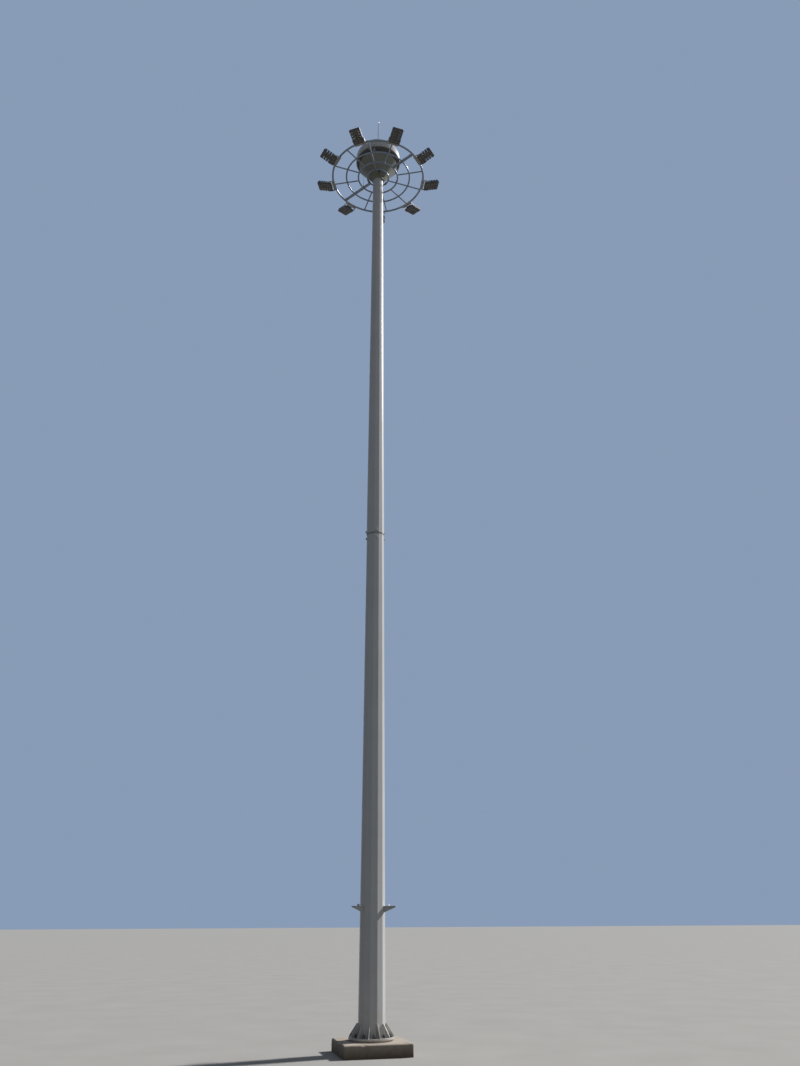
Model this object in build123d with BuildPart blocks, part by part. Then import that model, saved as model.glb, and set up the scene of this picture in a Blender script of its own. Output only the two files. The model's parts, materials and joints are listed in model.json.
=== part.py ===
from build123d import *
from math import atan2, cos, degrees, radians, sin, sqrt
import os

os.makedirs("parts", exist_ok=True)

# High-mast street light whose lamp ring runs down the outside of its shaft on three wires.
# Millimetres and degrees. Z = 0 is the underside of the plinth, on the axis of the shaft.
# Angles about Z count from +X. One flat side of the shaft looks along -Y.

# Running and seating gaps
seat_gap = 0.3          # between curved pieces that are welded or bolted to each other
run_clearance = 5.0     # between the lowered ring and the brackets that catch it

# Plinth and grout
plinth_side = 1460.0
plinth_height = 250.0
plinth_turn = 5.0       # the block was not poured square to the shaft
plinth_chamfer = 20.0
grout_thickness = 30.0
grout_radius = 465.0
grout_bore = 200.0

# Shaft: two tapered twelve-sided lengths, the upper one sleeved over the lower
shaft_sides = 12
shaft_foot_radius = 296.0       # to the corners
shaft_taper = 5.75 / 1000       # loss of radius for each unit of height
lower_wall = 8.0
upper_wall = 6.0
sleeve_edge_z = 11900.0
sleeve_overlap = 700.0
shaft_top_z = 25400.0

# Base flange with its anchor holes and gussets
flange_radius = 490.0
flange_thickness = 40.0
flange_bore = 170.0
flange_chamfer = 4.0
anchor_count = 12
anchor_circle = 420.0
anchor_hole = 21.0
gusset_height = 250.0
gusset_nose = 25.0
gusset_inset = 12.0
gusset_top_width = 26.0
gusset_thickness = 14.0

# Service door, on the hidden side
door_width = 200.0
door_height = 800.0
door_corner = 60.0
door_foot_z = 750.0
door_frame_width = 28.0
door_frame_depth = 66.0
door_frame_proud = 16.0
door_lap = 14.0
door_thickness = 5.0

# Lugs that jack the two lengths of the shaft together
lug_count = 4
lug_width = 50.0
lug_height = 70.0
lug_face = 35.0         # height of its outer face
lug_reach = 34.0
lug_spacing = 130.0

# Brackets that the lowered ring rests on
bracket_count = 3
bracket_start = 90.0
bracket_top_z = 2840.0
bracket_tip_radius = 560.0
bracket_root_depth = 135.0
bracket_tip_depth = 26.0
bracket_web = 14.0
bracket_seat_width = 80.0
bracket_seat_thickness = 12.0
bracket_stop_height = 40.0
bracket_stop_gap = 15.0

# Lamp ring
ring_drop = 650.0       # from the top of the shaft to the plane of the hoops
outer_ring_radius = 1475.0
outer_tube = 30.0
middle_ring_radius = 1030.0
middle_tube = 25.0
inner_ring_radius = 640.0
inner_tube = 25.0
guide_ring_radius = 345.0
guide_tube = 25.0
spoke_tube = 21.0
spoke_count = 12
spoke_start = 11.0
split_angle = 131.0     # the ring is made in halves that meet here and opposite
split_offset = 26.0     # each half has its own spoke beside the joint
arm_angles = [11.0, 131.0, 251.0]

# Rollers that keep the ring off the shaft
roller_count = 3
roller_start = 30.0
roller_radius = 30.0
roller_width = 50.0
roller_pin = 9.0
roller_gap = 7.0        # to the flat of the shaft, with the ring at its lowest
roller_drop = 62.0
ear_thickness = 8.0
ear_margin = 16.0
pad_thickness = 6.0
pad_length = 100.0
pad_width = 62.0

# Head gear, with its drops from the top of the shaft
cone_foot_drop = 750.0
cone_foot_radius = 190.0
cone_rim_drop = 150.0
cone_rim_radius = 620.0
cone_wall = 5.0
collar_height = 40.0
head_plate_radius = 270.0
head_plate_thickness = 16.0
head_plate_bore = 60.0
cheek_gap = 44.0
cheek_thickness = 10.0
cheek_rise = 60.0
cheek_slope_start = 440.0
cheek_slope_end = 520.0
cheek_cleat = 60.0
sheave_radius = 62.0
sheave_width = 40.0
sheave_pin = 14.0
groove_depth = 10.0
wire_radius = 4.0
wire_circle = 640.0
wire_lug_height = 70.0
wire_lug_width = 40.0
wire_lug_thickness = 14.0

# Hood and lightning rod
hood_radius = 720.0
hood_rim_drop = 10.0    # from the top of the shaft
hood_skirt = 160.0
hood_rise = 540.0
hood_shoulder = 400.0   # radius of the turn from the skirt into the crown
hood_wall = 5.0
hood_lip = 22.0
rod_socket_radius = 34.0
rod_socket_height = 70.0
rod_radius = 16.0
rod_tip_radius = 9.0
rod_ball_radius = 35.0
rod_length = 1240.0

# Floodlights: x runs outwards from the pivot, z is up
lamp_count = 9
lamp_start = 1.0
lamp_tilt = 17.0
lamp_pivot_reach = 190.0
lamp_pivot_drop = 60.0
lamp_inner = 120.0
lamp_outer = 360.0
lamp_width = 350.0
lamp_floor = -25.0
lamp_deck = 12.0
lamp_corner = 24.0
fin_count = 9
fin_height = 58.0
fin_thickness = 6.0
fin_margin = 18.0
fin_slope = 16.0
driver_length = 150.0
driver_width = 190.0
driver_height = 56.0
driver_corner = 12.0
pocket_depth = 8.0
pocket_margin = 18.0
optic_gap = 0.5
optic_plate = 5.0
module_rows = 5
module_columns = 2
module_gap = 22.0
module_height = 6.0
slot_width = 16.0       # open slots between the rows of modules
slot_reach = 105.0      # in from each long side
boss_radius = 22.0
yoke_side_gap = 6.0
yoke_thickness = 8.0
yoke_depth = 56.0
yoke_nose = 28.0
yoke_base_reach = 52.0  # either side of the hoop, past the legs of its U-bolts

# Worked out from the dimensions above
shaft_foot_z = plinth_height + grout_thickness + flange_thickness
side_angle = 360 / shaft_sides
flat_ratio = cos(radians(side_angle / 2))
sleeve_growth = (upper_wall + seat_gap) / flat_ratio
ring_z = shaft_top_z - ring_drop
cone_foot_z = shaft_top_z - cone_foot_drop
cone_rim_z = shaft_top_z - cone_rim_drop
hood_rim_z = shaft_top_z - hood_rim_drop
skirt_top_z = hood_rim_z + hood_skirt
crown_z = skirt_top_z + hood_rise
shoulder_reach = hood_radius - hood_shoulder
crown_radius = (shoulder_reach**2 + hood_rise**2 - hood_shoulder**2) / (2 * (hood_rise - hood_shoulder))
crown_start = degrees(atan2(crown_radius - hood_rise, shoulder_reach))


def lower_radius(z):
    """Corner radius of the lower length at a height."""
    return shaft_foot_radius - shaft_taper * (z - shaft_foot_z)


def upper_radius(z):
    """Corner radius of the upper length, which sleeves over the lower with the same taper."""
    return lower_radius(z) + sleeve_growth


def tapered_bar(bottom, top, bottom_radius, top_radius, mode=Mode.ADD):
    """Twelve-sided tapered prism between two heights, in the active part."""
    ends = []
    for height, radius in ((bottom, bottom_radius), (top, top_radius)):
        with BuildSketch(Plane.XY.offset(height)) as section:
            RegularPolygon(radius, shaft_sides, rotation=side_angle / 2)
        ends.append(section.sketch.face())
    loft(ends, ruled=True, mode=mode)


def tube_ring(radius, tube, mode=Mode.ADD):
    """Hoop of round section about the axis at the height of the lamp ring."""
    with BuildSketch(Plane.XZ) as section:
        with Locations((radius, ring_z)):
            Circle(tube)
    revolve(section.sketch, axis=Axis.Z, mode=mode)


def spokes(inner, inner_tube_radius, outer, outer_tube_radius, angles):
    """Round bars between two hoops, their ends coped to the tubes they are welded to."""
    for angle in angles:
        split = abs((angle - split_angle) % 180) < 1
        offsets = (-split_offset, split_offset) if split else (0,)
        for offset in offsets:
            start = Plane(
                origin=(0, 0, ring_z),
                x_dir=(-sin(radians(angle)), cos(radians(angle)), 0),
                z_dir=(cos(radians(angle)), sin(radians(angle)), 0),
            ).offset(inner)
            with BuildSketch(start) as section:
                with Locations((offset, 0)):
                    Circle(spoke_tube)
            extrude(section.sketch, amount=outer - inner)
    tube_ring(inner, inner_tube_radius + seat_gap, Mode.SUBTRACT)
    tube_ring(outer, outer_tube_radius + seat_gap, Mode.SUBTRACT)


def dome(inset):
    """Half profile of the hood, set in from its outside, down to its rim."""
    with BuildSketch(Plane.XZ) as section:
        with BuildLine():
            CenterArc((shoulder_reach, skirt_top_z), hood_shoulder - inset, 0, crown_start)
            CenterArc((0, crown_z - crown_radius), crown_radius - inset, crown_start, 90 - crown_start)
            Polyline(
                (0, crown_z - inset),
                (0, hood_rim_z),
                (hood_radius - inset, hood_rim_z),
                (hood_radius - inset, skirt_top_z),
            )
        make_face()
    return section.sketch


def save(piece, name):
    """Label a finished piece and write it."""
    piece.label = name
    export_step(piece, "parts/" + name + ".step")


spoke_angles = [spoke_start + 360 / spoke_count * turn for turn in range(spoke_count)]

# Plinth: the visible part of the concrete block, with its top arris knocked off
with BuildPart() as plinth:
    with BuildSketch():
        Rectangle(plinth_side, plinth_side, rotation=plinth_turn)
    extrude(amount=plinth_height)
    chamfer(plinth.faces().sort_by(Axis.Z)[-1].edges(), plinth_chamfer)
save(plinth.part, "plinth")

# Grout bed under the flange
with BuildPart() as grout_bed:
    with BuildSketch(Plane.XY.offset(plinth_height)):
        Circle(grout_radius)
        Circle(grout_bore, mode=Mode.SUBTRACT)
    extrude(amount=grout_thickness)
save(grout_bed.part, "grout_bed")

# Base flange: one anchor hole under each flat of the shaft
with BuildPart() as base_flange:
    with BuildSketch(Plane.XY.offset(plinth_height + grout_thickness)):
        Circle(flange_radius)
        Circle(flange_bore, mode=Mode.SUBTRACT)
        with PolarLocations(anchor_circle, anchor_count):
            Circle(anchor_hole, mode=Mode.SUBTRACT)
    extrude(amount=flange_thickness)
    rim = base_flange.edges().filter_by(GeomType.CIRCLE).sort_by(SortBy.RADIUS)[-2:]
    chamfer(rim, flange_chamfer)
save(base_flange.part, "base_flange")

# One gusset for each corner of the shaft
gusset_top_z = shaft_foot_z + gusset_height
with BuildPart() as gusset:
    with BuildSketch(Plane.XZ):
        with BuildLine():
            Polyline(
                (lower_radius(shaft_foot_z) + seat_gap, shaft_foot_z),
                (flange_radius - gusset_inset, shaft_foot_z),
                (flange_radius - gusset_inset, shaft_foot_z + gusset_nose),
                (lower_radius(gusset_top_z) + gusset_top_width, gusset_top_z),
                (lower_radius(gusset_top_z) + seat_gap, gusset_top_z),
                close=True,
            )
        make_face()
    extrude(amount=gusset_thickness / 2, both=True)
with BuildPart() as base_gussets:
    with PolarLocations(0, shaft_sides, start_angle=side_angle / 2):
        add(gusset.part)
save(base_gussets.part, "base_gussets")

# Service door: a frame let into the flat side, with a plate closed on it
door_plane = Plane(
    origin=(0, lower_radius(door_foot_z) * flat_ratio + door_frame_proud, door_foot_z + door_height / 2),
    x_dir=(-1, 0, 0),
    z_dir=(0, 1, 0),
)
frame_size = (door_width + 2 * door_frame_width, door_height + 2 * door_frame_width)
frame_corner = door_corner + door_frame_width
with BuildPart() as door_frame:
    with BuildSketch(door_plane):
        RectangleRounded(*frame_size, frame_corner)
        RectangleRounded(door_width, door_height, door_corner, mode=Mode.SUBTRACT)
    extrude(amount=-door_frame_depth)
save(door_frame.part, "door_frame")

with BuildPart() as service_door:
    with BuildSketch(door_plane):
        RectangleRounded(door_width + 2 * door_lap, door_height + 2 * door_lap, door_corner + door_lap)
    extrude(amount=door_thickness)
save(service_door.part, "service_door")

# Lower length of the shaft, open at both ends, with the hole for the door frame
lower_top_z = sleeve_edge_z + sleeve_overlap
with BuildPart() as lower_shaft:
    tapered_bar(shaft_foot_z, lower_top_z, lower_radius(shaft_foot_z), lower_radius(lower_top_z))
    inset = lower_wall / flat_ratio
    tapered_bar(
        shaft_foot_z,
        lower_top_z,
        lower_radius(shaft_foot_z) - inset,
        lower_radius(lower_top_z) - inset,
        Mode.SUBTRACT,
    )
    with BuildSketch(door_plane):
        RectangleRounded(frame_size[0] + 2 * seat_gap, frame_size[1] + 2 * seat_gap, frame_corner)
    extrude(amount=-shaft_foot_radius / 2, mode=Mode.SUBTRACT)
save(lower_shaft.part, "lower_shaft")

# Upper length of the shaft
with BuildPart() as upper_shaft:
    tapered_bar(sleeve_edge_z, shaft_top_z, upper_radius(sleeve_edge_z), upper_radius(shaft_top_z))
    inset = upper_wall / flat_ratio
    tapered_bar(
        sleeve_edge_z,
        shaft_top_z,
        upper_radius(sleeve_edge_z) - inset,
        upper_radius(shaft_top_z) - inset,
        Mode.SUBTRACT,
    )
save(upper_shaft.part, "upper_shaft")

# Jacking lugs, one pair above and below the sleeve's edge on four of the flats
with BuildPart() as lug_pair:
    for radius, height in (
        (upper_radius(sleeve_edge_z), sleeve_edge_z + lug_spacing / 2),
        (lower_radius(sleeve_edge_z - lug_spacing), sleeve_edge_z - lug_spacing),
    ):
        with BuildSketch(Plane.XZ):
            with BuildLine():
                root = radius * flat_ratio + seat_gap
                Polyline(
                    (root, height - lug_height / 2),
                    (root + lug_reach, height - lug_face / 2),
                    (root + lug_reach, height + lug_face / 2),
                    (root, height + lug_height / 2),
                    close=True,
                )
            make_face()
        extrude(amount=lug_width / 2, both=True)
with BuildPart() as joint_lugs:
    with PolarLocations(0, lug_count):
        add(lug_pair.part)
save(joint_lugs.part, "joint_lugs")

# Rest brackets: a web under a seat, with a stop outside the hoop that comes down on it
web_top_z = bracket_top_z - bracket_seat_thickness
web_foot_z = bracket_top_z - bracket_root_depth
stop_radius = guide_ring_radius + guide_tube + bracket_stop_gap
with BuildPart() as bracket:
    with BuildSketch(Plane.XZ):
        with BuildLine():
            Polyline(
                (lower_radius(web_top_z) * flat_ratio + seat_gap, web_top_z),
                (bracket_tip_radius, web_top_z),
                (bracket_tip_radius, bracket_top_z - bracket_tip_depth),
                (lower_radius(web_foot_z) * flat_ratio + seat_gap, web_foot_z),
                close=True,
            )
        make_face()
    extrude(amount=bracket_web / 2, both=True)
    with BuildSketch(Plane.XZ):
        with BuildLine():
            root = lower_radius(web_top_z) * flat_ratio + seat_gap
            Polyline(
                (root, web_top_z),
                (bracket_tip_radius, web_top_z),
                (bracket_tip_radius, bracket_top_z),
                (stop_radius + bracket_seat_thickness, bracket_top_z),
                (stop_radius + bracket_seat_thickness, bracket_top_z + bracket_stop_height),
                (stop_radius, bracket_top_z + bracket_stop_height),
                (stop_radius, bracket_top_z),
                (root, bracket_top_z),
                close=True,
            )
        make_face()
    extrude(amount=bracket_seat_width / 2, both=True)
with BuildPart() as rest_brackets:
    with PolarLocations(0, bracket_count, start_angle=bracket_start):
        add(bracket.part)
save(rest_brackets.part, "rest_brackets")

# Cone under the hood, on a collar bored to the twelve sides of the shaft
with BuildPart() as head_cone:
    with BuildSketch(Plane.XZ):
        with BuildLine():
            Polyline(
                (upper_radius(shaft_top_z) * flat_ratio - upper_wall, cone_foot_z - collar_height),
                (cone_foot_radius, cone_foot_z - collar_height),
                (cone_foot_radius, cone_foot_z),
                (cone_rim_radius, cone_rim_z),
                (cone_rim_radius - cone_wall, cone_rim_z),
                (cone_foot_radius - cone_wall, cone_foot_z + cone_wall),
                (upper_radius(shaft_top_z) * flat_ratio - upper_wall, cone_foot_z + cone_wall),
                close=True,
            )
        make_face()
    revolve(axis=Axis.Z)
    bore_foot_z = cone_foot_z - 2 * collar_height
    bore_top_z = cone_foot_z + collar_height
    tapered_bar(
        bore_foot_z,
        bore_top_z,
        upper_radius(bore_foot_z) + seat_gap,
        upper_radius(bore_top_z) + seat_gap,
        Mode.SUBTRACT,
    )
save(head_cone.part, "head_cone")

# Head plate on the open end of the shaft
with BuildPart() as head_plate:
    with BuildSketch(Plane.XY.offset(shaft_top_z)):
        Circle(head_plate_radius)
        Circle(head_plate_bore, mode=Mode.SUBTRACT)
    extrude(amount=head_plate_thickness)
save(head_plate.part, "head_plate")

# Pulley arms: pairs of cheek plates from the head plate over the cone's rim to the hood
hood_inside = hood_radius - hood_wall
cheek_edge = cheek_gap / 2 + cheek_thickness
cheek_reach = sqrt((hood_inside - seat_gap) ** 2 - cheek_edge**2)
with BuildPart() as cheek_pair:
    with BuildSketch(Plane.XZ):
        with BuildLine():
            Polyline(
                (upper_radius(cone_rim_z) + seat_gap, cone_rim_z),
                (cone_rim_radius, cone_rim_z),
                (hood_inside - hood_lip - run_clearance, hood_rim_z - hood_wall),
                (hood_inside - hood_lip - run_clearance, hood_rim_z + hood_wall + run_clearance),
                (cheek_reach, hood_rim_z + hood_wall + run_clearance),
                (cheek_reach, shaft_top_z + cheek_cleat),
                (cheek_slope_end, shaft_top_z + cheek_rise),
                (cheek_slope_start, shaft_top_z),
                (upper_radius(cone_rim_z) + seat_gap, shaft_top_z),
                close=True,
            )
        make_face()
    extrude(amount=cheek_edge, both=True)
    with BuildSketch(Plane.XZ):
        with Locations((hood_radius / 2, cone_rim_z)):
            Rectangle(hood_radius, hood_radius)
    extrude(amount=cheek_gap / 2, both=True, mode=Mode.SUBTRACT)
with BuildPart() as pulley_arms:
    with PolarLocations(0, len(arm_angles), start_angle=arm_angles[0]):
        add(cheek_pair.part)
save(pulley_arms.part, "pulley_arms")

# Grooved sheaves on their pins, the wire leaving each on the wire circle
sheave_circle = wire_circle - sheave_radius + groove_depth - wire_radius
with BuildPart() as sheave:
    with BuildSketch(Plane.XY):
        with BuildLine():
            Polyline(
                (0, -cheek_gap / 2 + seat_gap),
                (sheave_pin, -cheek_gap / 2 + seat_gap),
                (sheave_pin, -sheave_width / 2),
                (sheave_radius, -sheave_width / 2),
                (sheave_radius - groove_depth, -wire_radius),
                (sheave_radius - groove_depth, wire_radius),
                (sheave_radius, sheave_width / 2),
                (sheave_pin, sheave_width / 2),
                (sheave_pin, cheek_gap / 2 - seat_gap),
                (0, cheek_gap / 2 - seat_gap),
                close=True,
            )
        make_face()
    revolve(axis=Axis.Y)
with BuildPart() as head_pulleys:
    with PolarLocations(0, len(arm_angles), start_angle=arm_angles[0]):
        with Locations((sheave_circle, 0, shaft_top_z)):
            add(sheave.part)
save(head_pulleys.part, "head_pulleys")

# Lugs on the inner hoop that the wires end in
lug_top_z = ring_z + inner_tube + wire_lug_height
with BuildPart() as wire_lugs:
    with PolarLocations(wire_circle, len(arm_angles), start_angle=arm_angles[0]):
        with Locations((0, 0, ring_z + inner_tube + seat_gap)):
            Box(
                wire_lug_width,
                wire_lug_thickness,
                wire_lug_height - seat_gap,
                align=(Align.CENTER, Align.CENTER, Align.MIN),
            )
save(wire_lugs.part, "wire_lugs")

# Suspension wires from the sheaves to the lugs
with BuildPart() as suspension_wires:
    with BuildSketch(Plane.XY.offset(lug_top_z)):
        with PolarLocations(wire_circle, len(arm_angles), start_angle=arm_angles[0]):
            Circle(wire_radius)
    extrude(amount=shaft_top_z - lug_top_z)
save(suspension_wires.part, "suspension_wires")

# Hood: straight skirt, a crown of two arcs that run into each other, and a lip turned in
with BuildPart() as hood:
    revolve(dome(0), axis=Axis.Z)
    revolve(dome(hood_wall), axis=Axis.Z, mode=Mode.SUBTRACT)
    with BuildSketch(Plane.XY.offset(hood_rim_z)):
        Circle(hood_radius)
        Circle(hood_inside - hood_lip, mode=Mode.SUBTRACT)
    extrude(amount=hood_wall)
save(hood.part, "hood")

# Lightning rod on the crown of the hood, a tapered bar with a ball at its tip
ball_z = crown_z + rod_length - rod_ball_radius
with BuildPart() as lightning_rod:
    with BuildSketch(Plane.XZ):
        with BuildLine():
            Polyline(
                (0, crown_z),
                (rod_socket_radius, crown_z),
                (rod_socket_radius, crown_z + rod_socket_height),
                (rod_radius, crown_z + rod_socket_height),
                (rod_tip_radius, ball_z),
                (0, ball_z),
                close=True,
            )
        make_face()
    revolve(axis=Axis.Z)
    with Locations((0, 0, ball_z)):
        Sphere(rod_ball_radius)
save(lightning_rod.part, "lightning_rod")

# Hoops of the lamp ring
hoops = {
    "outer_ring": (outer_ring_radius, outer_tube),
    "middle_ring": (middle_ring_radius, middle_tube),
    "inner_ring": (inner_ring_radius, inner_tube),
    "guide_ring": (guide_ring_radius, guide_tube),
}
for name, (radius, tube) in hoops.items():
    with BuildPart() as hoop:
        tube_ring(radius, tube)
    save(hoop.part, name)

# Spokes between the hoops, and the arms that carry the guide hoop
with BuildPart() as outer_spokes:
    spokes(middle_ring_radius, middle_tube, outer_ring_radius, outer_tube, spoke_angles)
save(outer_spokes.part, "outer_spokes")

with BuildPart() as inner_spokes:
    spokes(inner_ring_radius, inner_tube, middle_ring_radius, middle_tube, spoke_angles)
save(inner_spokes.part, "inner_spokes")

with BuildPart() as guide_arms:
    spokes(guide_ring_radius, guide_tube, inner_ring_radius, inner_tube, arm_angles)
save(guide_arms.part, "guide_arms")

# Guide rollers hung in forks below the guide hoop
pad_top_z = ring_z - guide_tube - seat_gap
roller_z = ring_z - roller_drop
ring_travel = ring_z - guide_tube - run_clearance - bracket_top_z
lowest_flat = lower_radius(roller_z - ring_travel - roller_radius) * flat_ratio
roller_circle = lowest_flat + roller_gap + roller_radius
ear_inside = roller_width / 2 + run_clearance
with BuildPart() as fork:
    with BuildSketch(Plane.XY.offset(pad_top_z)):
        with Locations((guide_ring_radius - guide_tube / 2, 0)):
            Rectangle(pad_width, pad_length)
    extrude(amount=-pad_thickness)
    ear_outside = guide_ring_radius - guide_tube / 2 + pad_width / 2
    with BuildSketch(Plane.XZ):
        with BuildLine():
            Polyline(
                (roller_circle - ear_margin, pad_top_z - pad_thickness),
                (ear_outside, pad_top_z - pad_thickness),
                (roller_circle + ear_margin, roller_z - ear_margin),
                (roller_circle - ear_margin, roller_z - ear_margin),
                close=True,
            )
        make_face()
    extrude(amount=ear_inside + ear_thickness, both=True)
    with BuildSketch(Plane.XZ):
        with Locations((guide_ring_radius, pad_top_z - pad_thickness - pad_length)):
            Rectangle(2 * pad_length, 2 * pad_length)
    extrude(amount=ear_inside, both=True, mode=Mode.SUBTRACT)
with BuildPart() as roller_forks:
    with PolarLocations(0, roller_count, start_angle=roller_start):
        add(fork.part)
save(roller_forks.part, "roller_forks")

with BuildPart() as roller:
    Cylinder(roller_radius, roller_width, rotation=(90, 0, 0))
    Cylinder(roller_pin, 2 * (ear_inside - seat_gap), rotation=(90, 0, 0))
with BuildPart() as guide_rollers:
    with PolarLocations(0, roller_count, start_angle=roller_start):
        with Locations((roller_circle, 0, roller_z)):
            add(roller.part)
save(guide_rollers.part, "guide_rollers")

# Floodlights are drawn level, with the pivot at the origin
lamp_length = lamp_inner + lamp_outer
lamp_middle = (lamp_outer - lamp_inner) / 2
pocket_length = lamp_length - 2 * pocket_margin
pocket_width = lamp_width - 2 * pocket_margin
module_length = (pocket_length - (module_rows + 1) * module_gap) / module_rows
module_width = (pocket_width - (module_columns + 1) * module_gap) / module_columns

# Slots right through the lamp between its rows, save the first, where the pivot bosses are
with BuildPart() as slots:
    with BuildSketch(Plane.XY.offset(lamp_floor - module_height)):
        for row in range(2, module_rows):
            row_gap_x = lamp_middle + (row - module_rows / 2) * (module_length + module_gap)
            with Locations((row_gap_x, 0)):
                with GridLocations(0, lamp_width - slot_reach, 1, 2):
                    Rectangle(slot_width, slot_reach)
    extrude(amount=module_height - lamp_floor + lamp_deck + fin_height)

# Housing: a tray with fins on its back, the driver box and a pivot boss on each side
fin_span = lamp_width - 2 * fin_margin
with BuildPart() as fin:
    with BuildSketch(Plane.XZ):
        with BuildLine():
            Polyline(
                (driver_length - lamp_inner, lamp_deck),
                (lamp_outer - fin_margin, lamp_deck),
                (lamp_outer - fin_margin - fin_slope, lamp_deck + fin_height),
                (driver_length - lamp_inner, lamp_deck + fin_height),
                close=True,
            )
        make_face()
    extrude(amount=fin_thickness / 2, both=True)
with BuildPart() as housing:
    with BuildSketch(Plane.XY.offset(lamp_floor)) as tray:
        with Locations((lamp_middle, 0)):
            Rectangle(lamp_length, lamp_width)
        chamfer(tray.vertices(), lamp_corner)
    extrude(amount=lamp_deck - lamp_floor)
    with GridLocations(0, fin_span / (fin_count - 1), 1, fin_count):
        add(fin.part)
    with BuildSketch(Plane.XY.offset(lamp_deck)) as driver_box:
        with Locations((driver_length / 2 - lamp_inner + fin_margin / 2, 0)):
            Rectangle(driver_length - fin_margin, driver_width)
        chamfer(driver_box.vertices(), driver_corner)
    extrude(amount=driver_height)
    with BuildSketch(Plane.XZ):
        Circle(boss_radius)
    extrude(amount=lamp_width / 2 + yoke_side_gap - seat_gap, both=True)
    with BuildSketch(Plane.XY.offset(lamp_floor)):
        with Locations((lamp_middle, 0)):
            Rectangle(pocket_length, pocket_width)
    extrude(amount=pocket_depth, mode=Mode.SUBTRACT)
    add(slots.part, mode=Mode.SUBTRACT)

# Optic tray: a plate in the pocket that carries the light modules
with BuildPart() as optic:
    with BuildSketch(Plane.XY.offset(lamp_floor + pocket_depth)):
        with Locations((lamp_middle, 0)):
            Rectangle(pocket_length - 2 * optic_gap, pocket_width - 2 * optic_gap)
    extrude(amount=-optic_plate)
    with BuildSketch(Plane.XY.offset(lamp_floor + pocket_depth - optic_plate)):
        with Locations((lamp_middle, 0)):
            with GridLocations(
                module_length + module_gap, module_width + module_gap, module_rows, module_columns
            ):
                Rectangle(module_length, module_width)
    extrude(amount=-module_height)
    add(slots.part, mode=Mode.SUBTRACT)

# Yoke: a strap under the outer hoop with an arm down each side of the lamp
pivot_radius = outer_ring_radius + lamp_pivot_reach
pivot_z = ring_z - lamp_pivot_drop
arm_inside = lamp_width / 2 + yoke_side_gap
strap_top = lamp_pivot_drop - outer_tube - seat_gap
with BuildPart() as yoke:
    with BuildSketch(Plane.XZ):
        with BuildLine():
            Polyline(
                (-lamp_pivot_reach - yoke_base_reach, strap_top),
                (-lamp_pivot_reach + yoke_base_reach, strap_top),
                (yoke_nose, boss_radius),
                (yoke_nose, -boss_radius),
                (-lamp_pivot_reach + yoke_base_reach, strap_top - yoke_depth),
                (-lamp_pivot_reach - yoke_base_reach, strap_top - yoke_thickness),
                close=True,
            )
        make_face()
    extrude(amount=arm_inside + yoke_thickness, both=True)
    with BuildSketch(Plane.XZ):
        with BuildLine():
            Polyline(
                (-lamp_pivot_reach - 2 * yoke_base_reach, strap_top - yoke_thickness),
                (-lamp_pivot_reach + yoke_base_reach, strap_top - yoke_thickness),
                (-lamp_pivot_reach + yoke_base_reach, 2 * strap_top),
                (2 * yoke_nose, 2 * strap_top),
                (2 * yoke_nose, -2 * yoke_depth),
                (-lamp_pivot_reach - 2 * yoke_base_reach, -2 * yoke_depth),
                close=True,
            )
        make_face()
    extrude(amount=arm_inside, both=True, mode=Mode.SUBTRACT)
with BuildPart() as lamp_yokes:
    with PolarLocations(0, lamp_count, start_angle=lamp_start):
        with Locations((pivot_radius, 0, pivot_z)):
            add(yoke.part)
save(lamp_yokes.part, "lamp_yokes")

# Each floodlight at its place on the ring, its outer end tilted up
for index in range(lamp_count):
    turn = Location((0, 0, 0), (0, 0, lamp_start + index * 360 / lamp_count))
    place = turn * Location((pivot_radius, 0, pivot_z), (0, -lamp_tilt, 0))
    for name, shape in (("housing", housing), ("optic", optic)):
        with BuildPart() as lamp_piece:
            with Locations(place):
                add(shape.part)
        save(lamp_piece.part, f"lamp_{index + 1}_{name}")
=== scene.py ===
import json

import bmesh
import bpy
import numpy as np
from mathutils import Matrix, Vector


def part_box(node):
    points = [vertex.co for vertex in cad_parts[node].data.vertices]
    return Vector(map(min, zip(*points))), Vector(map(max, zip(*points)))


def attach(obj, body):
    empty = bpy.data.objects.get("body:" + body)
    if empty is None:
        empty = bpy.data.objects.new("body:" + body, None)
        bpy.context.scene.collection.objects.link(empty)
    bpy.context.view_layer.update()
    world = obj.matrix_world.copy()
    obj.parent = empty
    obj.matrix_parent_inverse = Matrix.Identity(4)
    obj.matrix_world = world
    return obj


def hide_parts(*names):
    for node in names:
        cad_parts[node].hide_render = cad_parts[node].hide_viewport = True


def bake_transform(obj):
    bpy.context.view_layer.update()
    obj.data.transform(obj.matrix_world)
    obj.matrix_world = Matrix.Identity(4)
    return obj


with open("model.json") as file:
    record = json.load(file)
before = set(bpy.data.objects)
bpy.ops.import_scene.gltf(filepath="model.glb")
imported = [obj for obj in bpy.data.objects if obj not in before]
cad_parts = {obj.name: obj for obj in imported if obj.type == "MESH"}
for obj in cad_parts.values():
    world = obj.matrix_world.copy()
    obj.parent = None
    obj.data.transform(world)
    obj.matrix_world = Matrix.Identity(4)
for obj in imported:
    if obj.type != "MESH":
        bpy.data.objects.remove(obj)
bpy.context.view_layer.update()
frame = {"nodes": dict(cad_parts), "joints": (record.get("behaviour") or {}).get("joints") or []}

# Metres and degrees. The shaft stands on the Z axis, and angles about it count from +X.


def points(*parts):
    # coordinates of any shapes that fit each other, as one array of points
    return np.stack(np.broadcast_arrays(*parts), axis=-1)


def loop(count):
    # a full turn in even steps, without the last one, which is the first again
    return 360 * np.arange(count) / count


def polar(angle, radius, height):
    # points on circles about the shaft: (r cos a, r sin a, z)
    turn = np.radians(angle)
    return points(radius * np.cos(turn), radius * np.sin(turn), height)


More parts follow.
